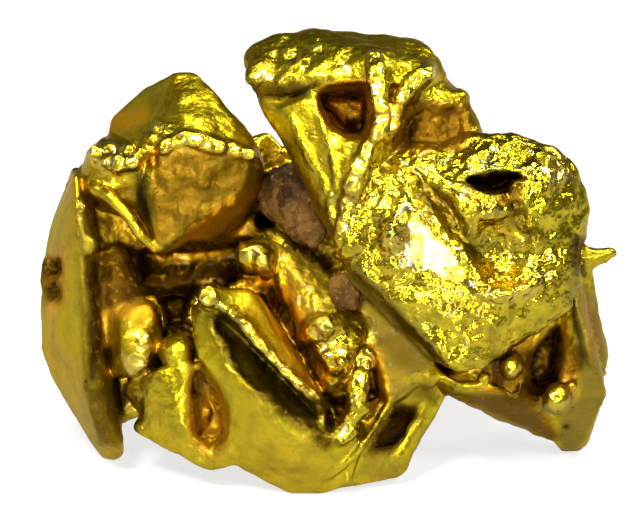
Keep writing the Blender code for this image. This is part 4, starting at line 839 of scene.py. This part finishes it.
def sculpted(spots, facing):
    """The spots pushed towards the viewer along the strokes and at the dots: a bell of the
    distance from the path, beaded by noise along it, on what is foremost."""
    front = foremost(spots, facing, slack=0.35)
    push = np.zeros(len(spots))
    for path, tall, beading in STROKES:
        here = nearby(spots, path, margin=0.6)
        gap, reach = along(spots[here], path)
        lane = np.stack([reach, np.zeros(len(reach)), np.full(len(reach), 0.37)], axis=1)
        beads = noise(lane, size=0.27, seed=5) * 1.2 + noise(spots[here], size=0.3, seed=7) * 0.5
        beads = 1 - beading * (0.5 - np.clip(beads, -0.5, 0.5))
        push[here] += tall * np.exp(-gap ** 2) * beads
    for across, high, wide, tall in DOTS:
        here = nearby(spots, [(across, high)], margin=wide * 3)
        gap = (spots[here][:, 0] - across) ** 2 + (spots[here][:, 2] - high) ** 2
        push[here] += tall * np.exp(-gap / wide ** 2)
    way = facing + 0.8 * VIEWER
    way /= np.maximum(np.linalg.norm(way, axis=1, keepdims=True), 0.3)
    return spots + way * (push * front)[:, None]


def lamp_way(azimuth, elevation):
    """The way to a lamp, as a unit step, from its azimuth and elevation in degrees."""
    across, high = math.radians(azimuth), math.radians(elevation)
    return np.array([math.sin(across) * math.cos(high), -math.cos(across) * math.cos(high),
                     math.sin(high)])


def facets(spots, facing, share):
    """For each spot, how far it belongs to its nearest facet, and the push away from the viewer
    that lays it in the facet's plane: of the planes whose mirrors send the viewer's look to a
    bright lamp, the one nearest to the skin, at the level of the foremost third of it."""
    belongs = np.zeros(len(spots))
    push = np.zeros(len(spots))
    ways = []
    for _, azimuth, elevation, _, wide, power in LAMPS:
        if power > BRIGHT * wide ** 2:
            way = TURN @ lamp_way(azimuth, elevation) + VIEWER
            ways.append(way / np.linalg.norm(way))
    ways = np.array(ways)
    for wide, across, high in ((wide, *place) for wide in FACETS for place in FACETS[wide]):
        here = nearby(spots, [(across, high)], margin=wide * 2)
        some = spots[here]
        step = some[:, [0, 2]] - (across, high)
        gap = (step ** 2).sum(axis=1) / wide ** 2
        core = (gap < 1) & (share[here] > 0.5)
        if not core.any():
            continue
        part = np.exp(-gap * (1 + 0.8 * noise(some, size=0.16, seed=47)))
        part = np.clip(part * 2.2, 0, 1) * share[here]
        way = ways[np.argmax(ways @ facing[here][core].mean(axis=0))]
        level = np.quantile(some[core, 1], 0.35) - 0.01
        plane = level - (way[0] * step[:, 0] + way[2] * step[:, 1]) / way[1]
        more = part > belongs[here]
        moved = part * np.clip(plane - some[:, 1], -0.14, 0.09)
        push[here] = np.where(more, moved, push[here])
        belongs[here] = np.where(more, part, belongs[here])
    return belongs, push


def terraces(spots, size, seed, levels=3, tread=0.35, riser=0.3):
    """Growth steps: a rolling field cut into levels, each a flat tread and an eased riser."""
    field = rolling(spots, size, seed, octaves=2) * levels
    level = np.floor(field)
    rise = np.clip((field - level - tread) / riser, 0, 1)
    return level + rise * rise * (3 - 2 * rise)


def relief(spots, rough, front, settings):
    """The height of the fine skin: two sizes of pebbles and low swells where it is rough, and
    growth steps where it is turned away from the front."""
    height = rough * settings.pebble_height * (
        0.50 * pebbles(spots, size=0.46, seed=11) + 0.35 * pebbles(spots, size=0.25, seed=17)
        + 1.15 * rolling(spots, size=0.9, seed=3, octaves=2)
        + 0.22 * rolling(spots, size=0.18, seed=23, octaves=2))
    height += 0.02 * rolling(spots, size=1.6, seed=41, octaves=2)
    return height + (1 - front) * 0.045 * terraces(spots, size=2.3, seed=83)


def laid(mesh):
    """The metal laid on the mesh, as closed shapes: tubes in the folds, tubes and balls that
    stand proud of the surface straight behind them by a share of their radius, and rows of
    small crystals that stray from their paths."""
    shape = bmesh.new()
    shape.from_mesh(mesh)
    tree = BVHTree.FromBMesh(shape)
    shape.free()
    toward = standing(VIEWER[None])[0] - standing(np.zeros((1, 3)))[0]
    toward = Vector(toward).normalized()

    def depth(across, high):
        start = Vector(standing(np.array([[across, NEAR_SIDE, high]]))[0])
        return tree.ray_cast(start, -toward)[3] / MM + NEAR_SIDE

    made = [tube(path) for path in FILLS]
    for path, proud in LAID:
        line = [(across, depth(across, high) + radius * (1 - 2 * proud), high, radius)
                for across, high, radius in path]
        made.append(tube(line) if len(line) > 2 else ellipsoid(line[0][:3], [line[0][3]] * 3))
    dice = np.random.default_rng(CRYSTAL_SEED)
    for path, gap in BEADED:
        stops = np.array(path)
        run = np.concatenate([[0], np.cumsum(np.hypot(*np.diff(stops[:, :2], axis=0).T))])
        at = np.arange(0, run[-1], gap)
        at += dice.uniform(-0.2, 0.2, len(at)) * gap
        for across, high, radius in zip(*(np.interp(at, run, stops[:, k]) for k in range(3))):
            stray = dice.uniform(-STRAY, STRAY, 2) * radius
            across, high = np.array([across, high]) + stray
            radius *= dice.uniform(*SIZES)
            centre = (across, depth(across, high) + radius * SUNK, high)
            made.append(octahedron(centre, radius * dice.uniform(*AXES, 3), dice))
    return made


class Wire:
    """A socket of a node tree. Arithmetic on it adds Math nodes."""

    def __init__(self, tree, socket):
        self.tree = tree
        self.socket = socket

    def math(self, operation, *values):
        return add_node(self.tree, "ShaderNodeMath", {"operation": operation}, values)

    def __add__(self, other):
        return self.math("ADD", self, other)

    __radd__ = __add__

    def __sub__(self, other):
        return self.math("SUBTRACT", self, other)

    def __rsub__(self, other):
        return self.math("SUBTRACT", other, self)

    def __mul__(self, other):
        return self.math("MULTIPLY", self, other)

    __rmul__ = __mul__

    def between(self, low, high):
        """0 at low and 1 at high, held to that range."""
        return add_node(self.tree, "ShaderNodeMapRange", {"clamp": True},
                        {"Value": self, "From Min": low, "From Max": high})


def add_node(tree, kind, settings=(), sockets=(), output=0):
    """A node of a kind: its settings are set first, then its sockets get values or links."""
    node = tree.nodes.new(kind)
    for name, value in dict(settings).items():
        if name == "stops":
            ramp = node.color_ramp
            while len(ramp.elements) < len(value):
                ramp.elements.new(0.5)
            for element, (position, colour) in zip(ramp.elements, value):
                element.position = position
                element.color = (*colour, 1)
        else:
            setattr(node, name, value)
    pairs = sockets.items() if isinstance(sockets, dict) else enumerate(sockets)
    for name, value in pairs:
        if isinstance(value, Wire):
            tree.links.new(value.socket, node.inputs[name])
        else:
            node.inputs[name].default_value = value
    return Wire(tree, node.outputs[output])


def blended(tree, share, first, second):
    """One colour, of a node or a setting, going over to another by a share from 0 to 1."""
    first, second = (end if isinstance(end, Wire) else (*end, 1) for end in (first, second))
    return add_node(tree, "ShaderNodeMix", {"data_type": "RGBA"},
                    {0: share, 6: first, 7: second}, output=2)


def fresh_material(name):
    """A material with an empty tree and its output."""
    material = bpy.data.materials.new(name)
    material.use_nodes = True
    tree = material.node_tree
    tree.nodes.clear()
    return material, tree, tree.nodes.new("ShaderNodeOutputMaterial")


def millimetres(tree):
    """The object's own coordinates in millimetres."""
    place = add_node(tree, "ShaderNodeTexCoord", output="Object")
    return add_node(tree, "ShaderNodeVectorMath", {"operation": "SCALE"},
                    {0: place, "Scale": 1000.0})


def speckle(tree, place, scale, detail=2.0, rough=0.5):
    """Noise with a number of bumps to the millimetre."""
    return add_node(tree, "ShaderNodeTexNoise", {"noise_dimensions": "3D"},
                    {"Vector": place, "Scale": scale, "Detail": detail, "Roughness": rough})


def native_gold(settings):
    """Gold: brighter and greener by patches, deep orange in hollows that is partly painted light
    bounced between the crystals and partly the metal's own orange, painted dark green shade in
    grooves, nearly black where shade is painted into cavities and under ledges, partly iron
    staining, dull where it is tarnished, and pebbly where rough."""
    material, tree, out = fresh_material("native_gold")
    place = millimetres(tree)
    open_share, rough, tone, dull, stained, polish = (
        add_node(tree, "ShaderNodeAttribute", {"attribute_name": name}, output="Fac")
        for name in ("openness", "roughened", "tone", "dull", "stained", "polished"))
    patches = speckle(tree, place, scale=0.55).between(0.38, 0.62)
    mottle = speckle(tree, place, scale=1.9, detail=4.0, rough=0.65)
    grain = speckle(tree, place, scale=4.6, detail=1.4)
    fine = speckle(tree, place, scale=14.0)
    specks = speckle(tree, place, scale=7.0, detail=1.0).between(0.73, 0.78)
    metal = blended(tree, patches * 0.6 + rough * 0.2, settings.gold, settings.green_gold)
    # random darker green mottle, and darker flecks where the grain's bumps are low
    metal = blended(tree, mottle.between(0.42, 0.66) * (0.42 + 0.13 * rough), metal,
                    settings.painted_shade_and_mottle_green)
    metal = blended(tree, grain.between(0.54, 0.36) * rough * 0.5, metal, settings.painted_shade_and_mottle_green)
    # The orange where the skin is least open, and where the tone is above 0, is partly painted
    # light bounced between the crystals and partly the metal's own orange.
    hollow = open_share.between(0.60, 0.15)
    warm = (hollow * (0.60 - 0.35 * rough) * (1 - 0.8 * polish) + tone).between(0.0, 1.0)
    metal = blended(tree, warm * 0.9, metal, settings.bounce_and_hollow_gold)
    # painted shade: dark green where the tone is below 0
    metal = blended(tree, (tone * -0.95).between(0.0, 1.0), metal, settings.painted_shade_and_mottle_green)
    metal = blended(tree, dull * 0.85, metal, settings.khaki)
    # Nearly black: painted shade in the least open hollows and in the patches of painted shade,
    # which are partly iron staining, plus random dark specks.
    deep = open_share.between(0.24, 0.05) * grain.between(0.30, 0.60) * 0.8
    dark = (deep + stained * grain.between(0.10, 0.40) + specks * 0.5).between(0.0, 1.0)
    metal = blended(tree, dark * 0.95, metal, settings.stain_and_shade)
    gloss = settings.roughness - 0.14 * rough - 0.10 * polish + 0.06 * mottle
    gloss = gloss + 0.08 * hollow + 0.30 * dull + 0.15 * stained
    bump = add_node(tree, "ShaderNodeBump", {}, {
        "Strength": 1.0, "Distance": settings.grain_height * MM,
        "Height": (grain * 1.4 + fine * 0.16) * (0.06 + rough)
        + mottle * 0.8 * (1 - polish)})
    shader = add_node(tree, "ShaderNodeBsdfPrincipled", {}, {
        "Base Color": metal, "Metallic": 1 - 0.5 * dull, "Roughness": gloss,
        "Coat Weight": (0.10 + 0.20 * rough * grain.between(0.36, 0.5) + 0.8 * polish)
        * (1 - stained - 0.6 * dull),
        "Coat Roughness": 0.16, "Specular Tint": (0.60, 0.46, 0.12, 1), "Normal": bump})
    tree.links.new(shader.socket, out.inputs["Surface"])
    return material


def stained_quartz(settings):
    """Dull granular quartz: tan and pinkish grains, darker in the joints between them and towards
    the top, with bright specks of painted glint.
    """
    material, tree, out = fresh_material("stained_quartz")
    place = millimetres(tree)
    blotch = speckle(tree, place, scale=1.6, detail=3.0).between(0.35, 0.65)
    cells = {"Vector": place, "Scale": 4.5}
    grains = add_node(tree, "ShaderNodeTexVoronoi", {}, cells)
    tones = add_node(tree, "ShaderNodeTexVoronoi", {}, cells, output="Color")
    lot = add_node(tree, "ShaderNodeSeparateXYZ", {}, {0: tones}, output="X")
    fine = speckle(tree, place, scale=9.0, detail=3.0)
    high = add_node(tree, "ShaderNodeSeparateXYZ", {}, {0: place}, output="Z")
    pale = (blotch * 0.5 + lot * 0.7 - high.between(6.3, 7.4) * 0.8).between(0.0, 1.0)
    tint = blended(tree, pale, settings.dark_stone, settings.pale_stone)
    # painted glints: bright specks in the grain colour
    tint = blended(tree, fine.between(0.62, 0.72) * 0.35, tint, settings.glint_stone)
    bump = add_node(tree, "ShaderNodeBump", {}, {
        "Strength": 1.0, "Distance": 0.05 * MM, "Height": fine - grains * 0.8})
    shader = add_node(tree, "ShaderNodeBsdfPrincipled", {}, {
        "Base Color": tint, "Roughness": 0.6 + 0.25 * fine, "Specular IOR Level": 0.12,
        "Normal": bump})
    tree.links.new(shader.socket, out.inputs["Surface"])
    return material


def piece(name, mesh, material):
    """An object at the origin for a finished mesh, riding on the frame."""
    mesh.name = name
    mesh.materials.clear()
    mesh.materials.append(material)
    mesh.polygons.foreach_set("use_smooth", np.ones(len(mesh.polygons), bool))
    made = bpy.data.objects.new(name, mesh)
    bpy.context.scene.collection.objects.link(made)
    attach(made, "root")
    return made


class GoldSettings(bpy.types.PropertyGroup):
    """Sizes and colours of the gold."""

    voxel: FloatProperty(
        name="Voxel", description="Size of the cells that melt the crystals together, mm",
        default=0.05, min=0.03, max=0.2)
    melting: IntProperty(
        name="Melting", description="Rounds of smoothing that wear the edges", default=7)
    pebble_height: FloatProperty(
        name="Pebble height", description="Height of the pebbles on the roughest skin, mm",
        default=0.085)
    triangles: IntProperty(
        name="Triangles", description="Most triangles in the skin", default=192000)
    grain_height: FloatProperty(
        name="Grain height", description="Height of the fine grain, mm", default=0.05)
    roughness: FloatProperty(
        name="Roughness", description="Roughness of a smooth face", default=0.36,
        subtype="FACTOR")
    gold: FloatVectorProperty(
        name="Gold", description="Warm gold", subtype="COLOR", default=(0.44, 0.30, 0.006))
    green_gold: FloatVectorProperty(
        name="Green gold", description="Greener gold", subtype="COLOR",
        default=(0.46, 0.37, 0.006))
    # painted light bounced between the crystals, partly the metal's own orange in its hollows
    bounce_and_hollow_gold: FloatVectorProperty(
        name="Hollow gold", description="Gold in the hollows", subtype="COLOR",
        default=(0.70, 0.34, 0.010))
    # dark green of painted shade in grooves and folds, also of random mottle and flecks
    painted_shade_and_mottle_green: FloatVectorProperty(
        name="Shade green", description="Dark green gold in the grooves", subtype="COLOR",
        default=(0.13, 0.11, 0.008))
    khaki: FloatVectorProperty(
        name="Khaki", description="Tarnished dull gold", subtype="COLOR",
        default=(0.13, 0.085, 0.008))
    # nearly black of painted shade in cavities and under ledges, partly iron staining
    stain_and_shade: FloatVectorProperty(
        name="Stain", description="Iron stain in the deepest pits", subtype="COLOR",
        default=(0.035, 0.012, 0.001))


class QuartzSettings(bpy.types.PropertyGroup):
    """Sizes and colours of the quartz grains."""

    swell: FloatProperty(
        name="Swell", description="How far a grain fills its pocket, mm", default=0.12)
    dark_stone: FloatVectorProperty(
        name="Dark stone", description="Stained quartz", subtype="COLOR",
        default=(0.020, 0.008, 0.0008))
    pale_stone: FloatVectorProperty(
        name="Pale stone", description="Cleaner quartz", subtype="COLOR",
        default=(0.15, 0.070, 0.010))
    # painted glints: bright specks laid into the grain colour
    glint_stone: FloatVectorProperty(
        name="Glint", description="Bright grains", subtype="COLOR",
        default=(0.36, 0.22, 0.06))


class StageSettings(bpy.types.PropertyGroup):
    """The floor, the lamps and the camera."""

    floor_size: FloatProperty(
        name="Floor size", description="Side of the floor", default=0.9, unit="LENGTH")
    floor_tone: FloatProperty(
        name="Floor tone", description="Paleness of the floor", default=0.20, subtype="FACTOR")
    floor_glow: FloatProperty(
        name="Floor glow", description="Light that the floor gives of itself", default=0.72)
    lens: FloatProperty(name="Lens", description="Length of the lens, mm", default=300.0)
    view_width: FloatProperty(
        name="View width", description="Width of the view at the object, mm", default=16.0)


class SPECIMEN_OT_gold_crystals(bpy.types.Operator):
    """Grows the gold's skin over the cluster."""

    bl_idname = "specimen.gold_crystals"
    bl_label = "Gold crystals"

    def execute(self, context):
        settings = context.scene.specimen_gold
        # the crystals and what is laid on them, melted together, softened and sculpted
        solid = merged_copy("gold_crystals")
        mesh = melted(grown_together(solid, laid(solid)), settings.voxel, settings.melting)
        worn = modified(mesh.copy(), ("SMOOTH", {"factor": SMOOTHING, "iterations": 130}))
        points, normals = arrays(mesh)
        spots = softened(face_on(points), normals @ TURN.T, face_on(arrays(worn)[0]))
        points, normals = arrays(placed(mesh, standing(spots)))
        placed(mesh, standing(sculpted(face_on(points), normals @ TURN.T)))
        mesh = melted(mesh, settings.voxel, rounds=2)

        # the fine relief, which fades out at the table, and the facets
        points, normals = arrays(mesh)
        spots = face_on(points)
        facing = normals @ TURN.T
        front = foremost(spots, facing, slack=1.0)
        rough = roughened(spots, front)
        # painted shade in cavities, clefts and under ledges, partly iron staining; it also pits the
        # skin
        stained = painted(spots, front, SHADE_AND_STAINS, soft=0.2)
        height = relief(spots, rough, front, settings) + 0.02
        height += stained * 0.13 * rolling(spots, size=0.7, seed=91)
        height *= np.clip(points[:, 2] / (0.3 * MM), 0, 1)
        spots = face_on(points + normals * (height * MM)[:, None])
        facet, push = facets(spots, facing, front)
        spots[:, 1] += push
        points = standing(spots)
        points[:, 2] = np.maximum(points[:, 2], 0)
        points, normals = arrays(placed(mesh, points))

        # what the material reads
        remember(mesh, "openness", openness(face_on(points), normals @ TURN.T))
        remember(mesh, "roughened", rough * (1 - 0.95 * facet))
        # tone: from -1, painted dark green shade, to 1, painted bounced light and the metal's
        # orange
        remember(mesh, "tone", painted(spots, front, SHADE_AND_BOUNCE_TONES))
        remember(mesh, "dull", painted(spots, front, DULL))
        remember(mesh, "stained", stained)
        polished = painted(spots, front, POLISHED, soft=0.3)
        remember(mesh, "polished", np.maximum(polished, facet))

        count = 2 * len(mesh.polygons)
        mesh = modified(mesh, ("DECIMATE", {"ratio": min(settings.triangles / count, 1.0)}))
        skin = piece("gold_skin", mesh, native_gold(settings))
        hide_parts("gold_crystals")
        return {"FINISHED"}


class SPECIMEN_OT_quartz_grains(bpy.types.Operator):
    """Grows a granular skin over the quartz grains."""

    bl_idname = "specimen.quartz_grains"
    bl_label = "Quartz grains"

    def execute(self, context):
        settings = context.scene.specimen_quartz
        material = stained_quartz(settings)
        for node in ("quartz_chip_upper", "quartz_chip_lower"):
            mesh = melted(merged_copy(node), voxel=0.05, rounds=2)
            points, normals = arrays(mesh)
            spots = face_on(points)
            height = settings.swell + 0.05 * pebbles(spots, size=0.24, seed=61)
            height += 0.08 * rolling(spots, size=0.5, seed=67)
            placed(mesh, points + normals * (height * MM)[:, None])
            grain = piece(node + "_grain", mesh, material)
            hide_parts(node)
        return {"FINISHED"}


class SPECIMEN_OT_stage(bpy.types.Operator):
    """Lays the floor and sets the lamps and the camera."""

    bl_idname = "specimen.stage"
    bl_label = "Stage"

    def execute(self, context):
        settings = context.scene.specimen_stage
        scene = context.scene
        aim = Vector(standing(AIM)[0])
        half = settings.floor_size / 2
        mesh = bpy.data.meshes.new("floor")
        mesh.from_pydata([(-half, -half, 0), (half, -half, 0), (half, half, 0),
                          (-half, half, 0)], [], [(0, 1, 2, 3)])
        floor = bpy.data.objects.new("floor", mesh)
        scene.collection.objects.link(floor)
        material, tree, out = fresh_material("pale_floor")
        tone = settings.floor_tone
        shade = speckle(tree, millimetres(tree), scale=0.02).between(0.2, 0.8)
        paint = blended(tree, shade, [tone] * 3, [tone * 0.98, tone * 0.98, tone * 0.97])
        shader = add_node(tree, "ShaderNodeBsdfPrincipled", {},
                          {"Base Color": paint, "Roughness": 0.9, "Emission Color": (1, 1, 1, 1),
                           "Emission Strength": settings.floor_glow})
        tree.links.new(shader.socket, out.inputs["Surface"])
        mesh.materials.append(material)

        for name, azimuth, elevation, away, wide, power in LAMPS:
            lamp = bpy.data.lights.new(name, "AREA")
            lamp.shape = "DISK"
            lamp.size = wide
            lamp.energy = power
            stand = bpy.data.objects.new(name, lamp)
            scene.collection.objects.link(stand)
            way = Vector(lamp_way(azimuth, elevation))
            stand.location = aim + way * away
            stand.rotation_euler = way.to_track_quat("Z", "Y").to_euler()

        world = bpy.data.worlds.new("studio")
        scene.world = world
        world.use_nodes = True
        tree = world.node_tree
        tree.nodes.clear()
        out = tree.nodes.new("ShaderNodeOutputWorld")
        place = add_node(tree, "ShaderNodeTexCoord", output="Generated")
        rise = add_node(tree, "ShaderNodeSeparateXYZ", {}, {0: place}, output="Z")
        tint = add_node(tree, "ShaderNodeValToRGB", {"stops": SKY}, {0: rise})
        glow = add_node(tree, "ShaderNodeBackground", {}, {"Color": tint, "Strength": 1.0})
        tree.links.new(glow.socket, out.inputs["Surface"])

        lens = bpy.data.cameras.new("camera")
        lens.lens = settings.lens
        lens.sensor_width = SENSOR
        lens.clip_start = 0.005
        lens.dof.use_dof = False
        camera = bpy.data.objects.new("camera", lens)
        scene.collection.objects.link(camera)
        way = Vector((0, -COS, SIN))
        camera.location = aim + way * (settings.view_width * MM * settings.lens / SENSOR)
        camera.rotation_euler = way.to_track_quat("Z", "Y").to_euler()
        scene.camera = camera
        scene.view_settings.view_transform = "Standard"
        return {"FINISHED"}


class SPECIMEN_PT_panel(bpy.types.Panel):
    """Lists the pieces and their settings."""

    bl_idname = "SPECIMEN_PT_panel"
    bl_label = "Gold crystal specimen"
    bl_space_type = "VIEW_3D"
    bl_region_type = "UI"
    bl_category = "Specimen"

    def draw(self, context):
        for name, (group, operator) in GROUPS.items():
            box = self.layout.box()
            box.operator(operator)
            for setting in group.__annotations__:
                box.prop(getattr(context.scene, name), setting)


# The scene's groups of settings, with the operator that each is for.
GROUPS = {
    "specimen_gold": (GoldSettings, "specimen.gold_crystals"),
    "specimen_quartz": (QuartzSettings, "specimen.quartz_grains"),
    "specimen_stage": (StageSettings, "specimen.stage"),
}
CLASSES = [GoldSettings, QuartzSettings, StageSettings, SPECIMEN_OT_gold_crystals,
           SPECIMEN_OT_quartz_grains, SPECIMEN_OT_stage, SPECIMEN_PT_panel]


def register():
    for kind in CLASSES:
        bpy.utils.register_class(kind)
    for name, (group, _) in GROUPS.items():
        setattr(bpy.types.Scene, name, PointerProperty(type=group))


def unregister():
    for name in GROUPS:
        delattr(bpy.types.Scene, name)
    for kind in reversed(CLASSES):
        bpy.utils.unregister_class(kind)


def main():
    register()
    bpy.ops.specimen.gold_crystals()
    bpy.ops.specimen.quartz_grains()
    bpy.ops.specimen.stage()


if __name__ == "__main__":
    main()
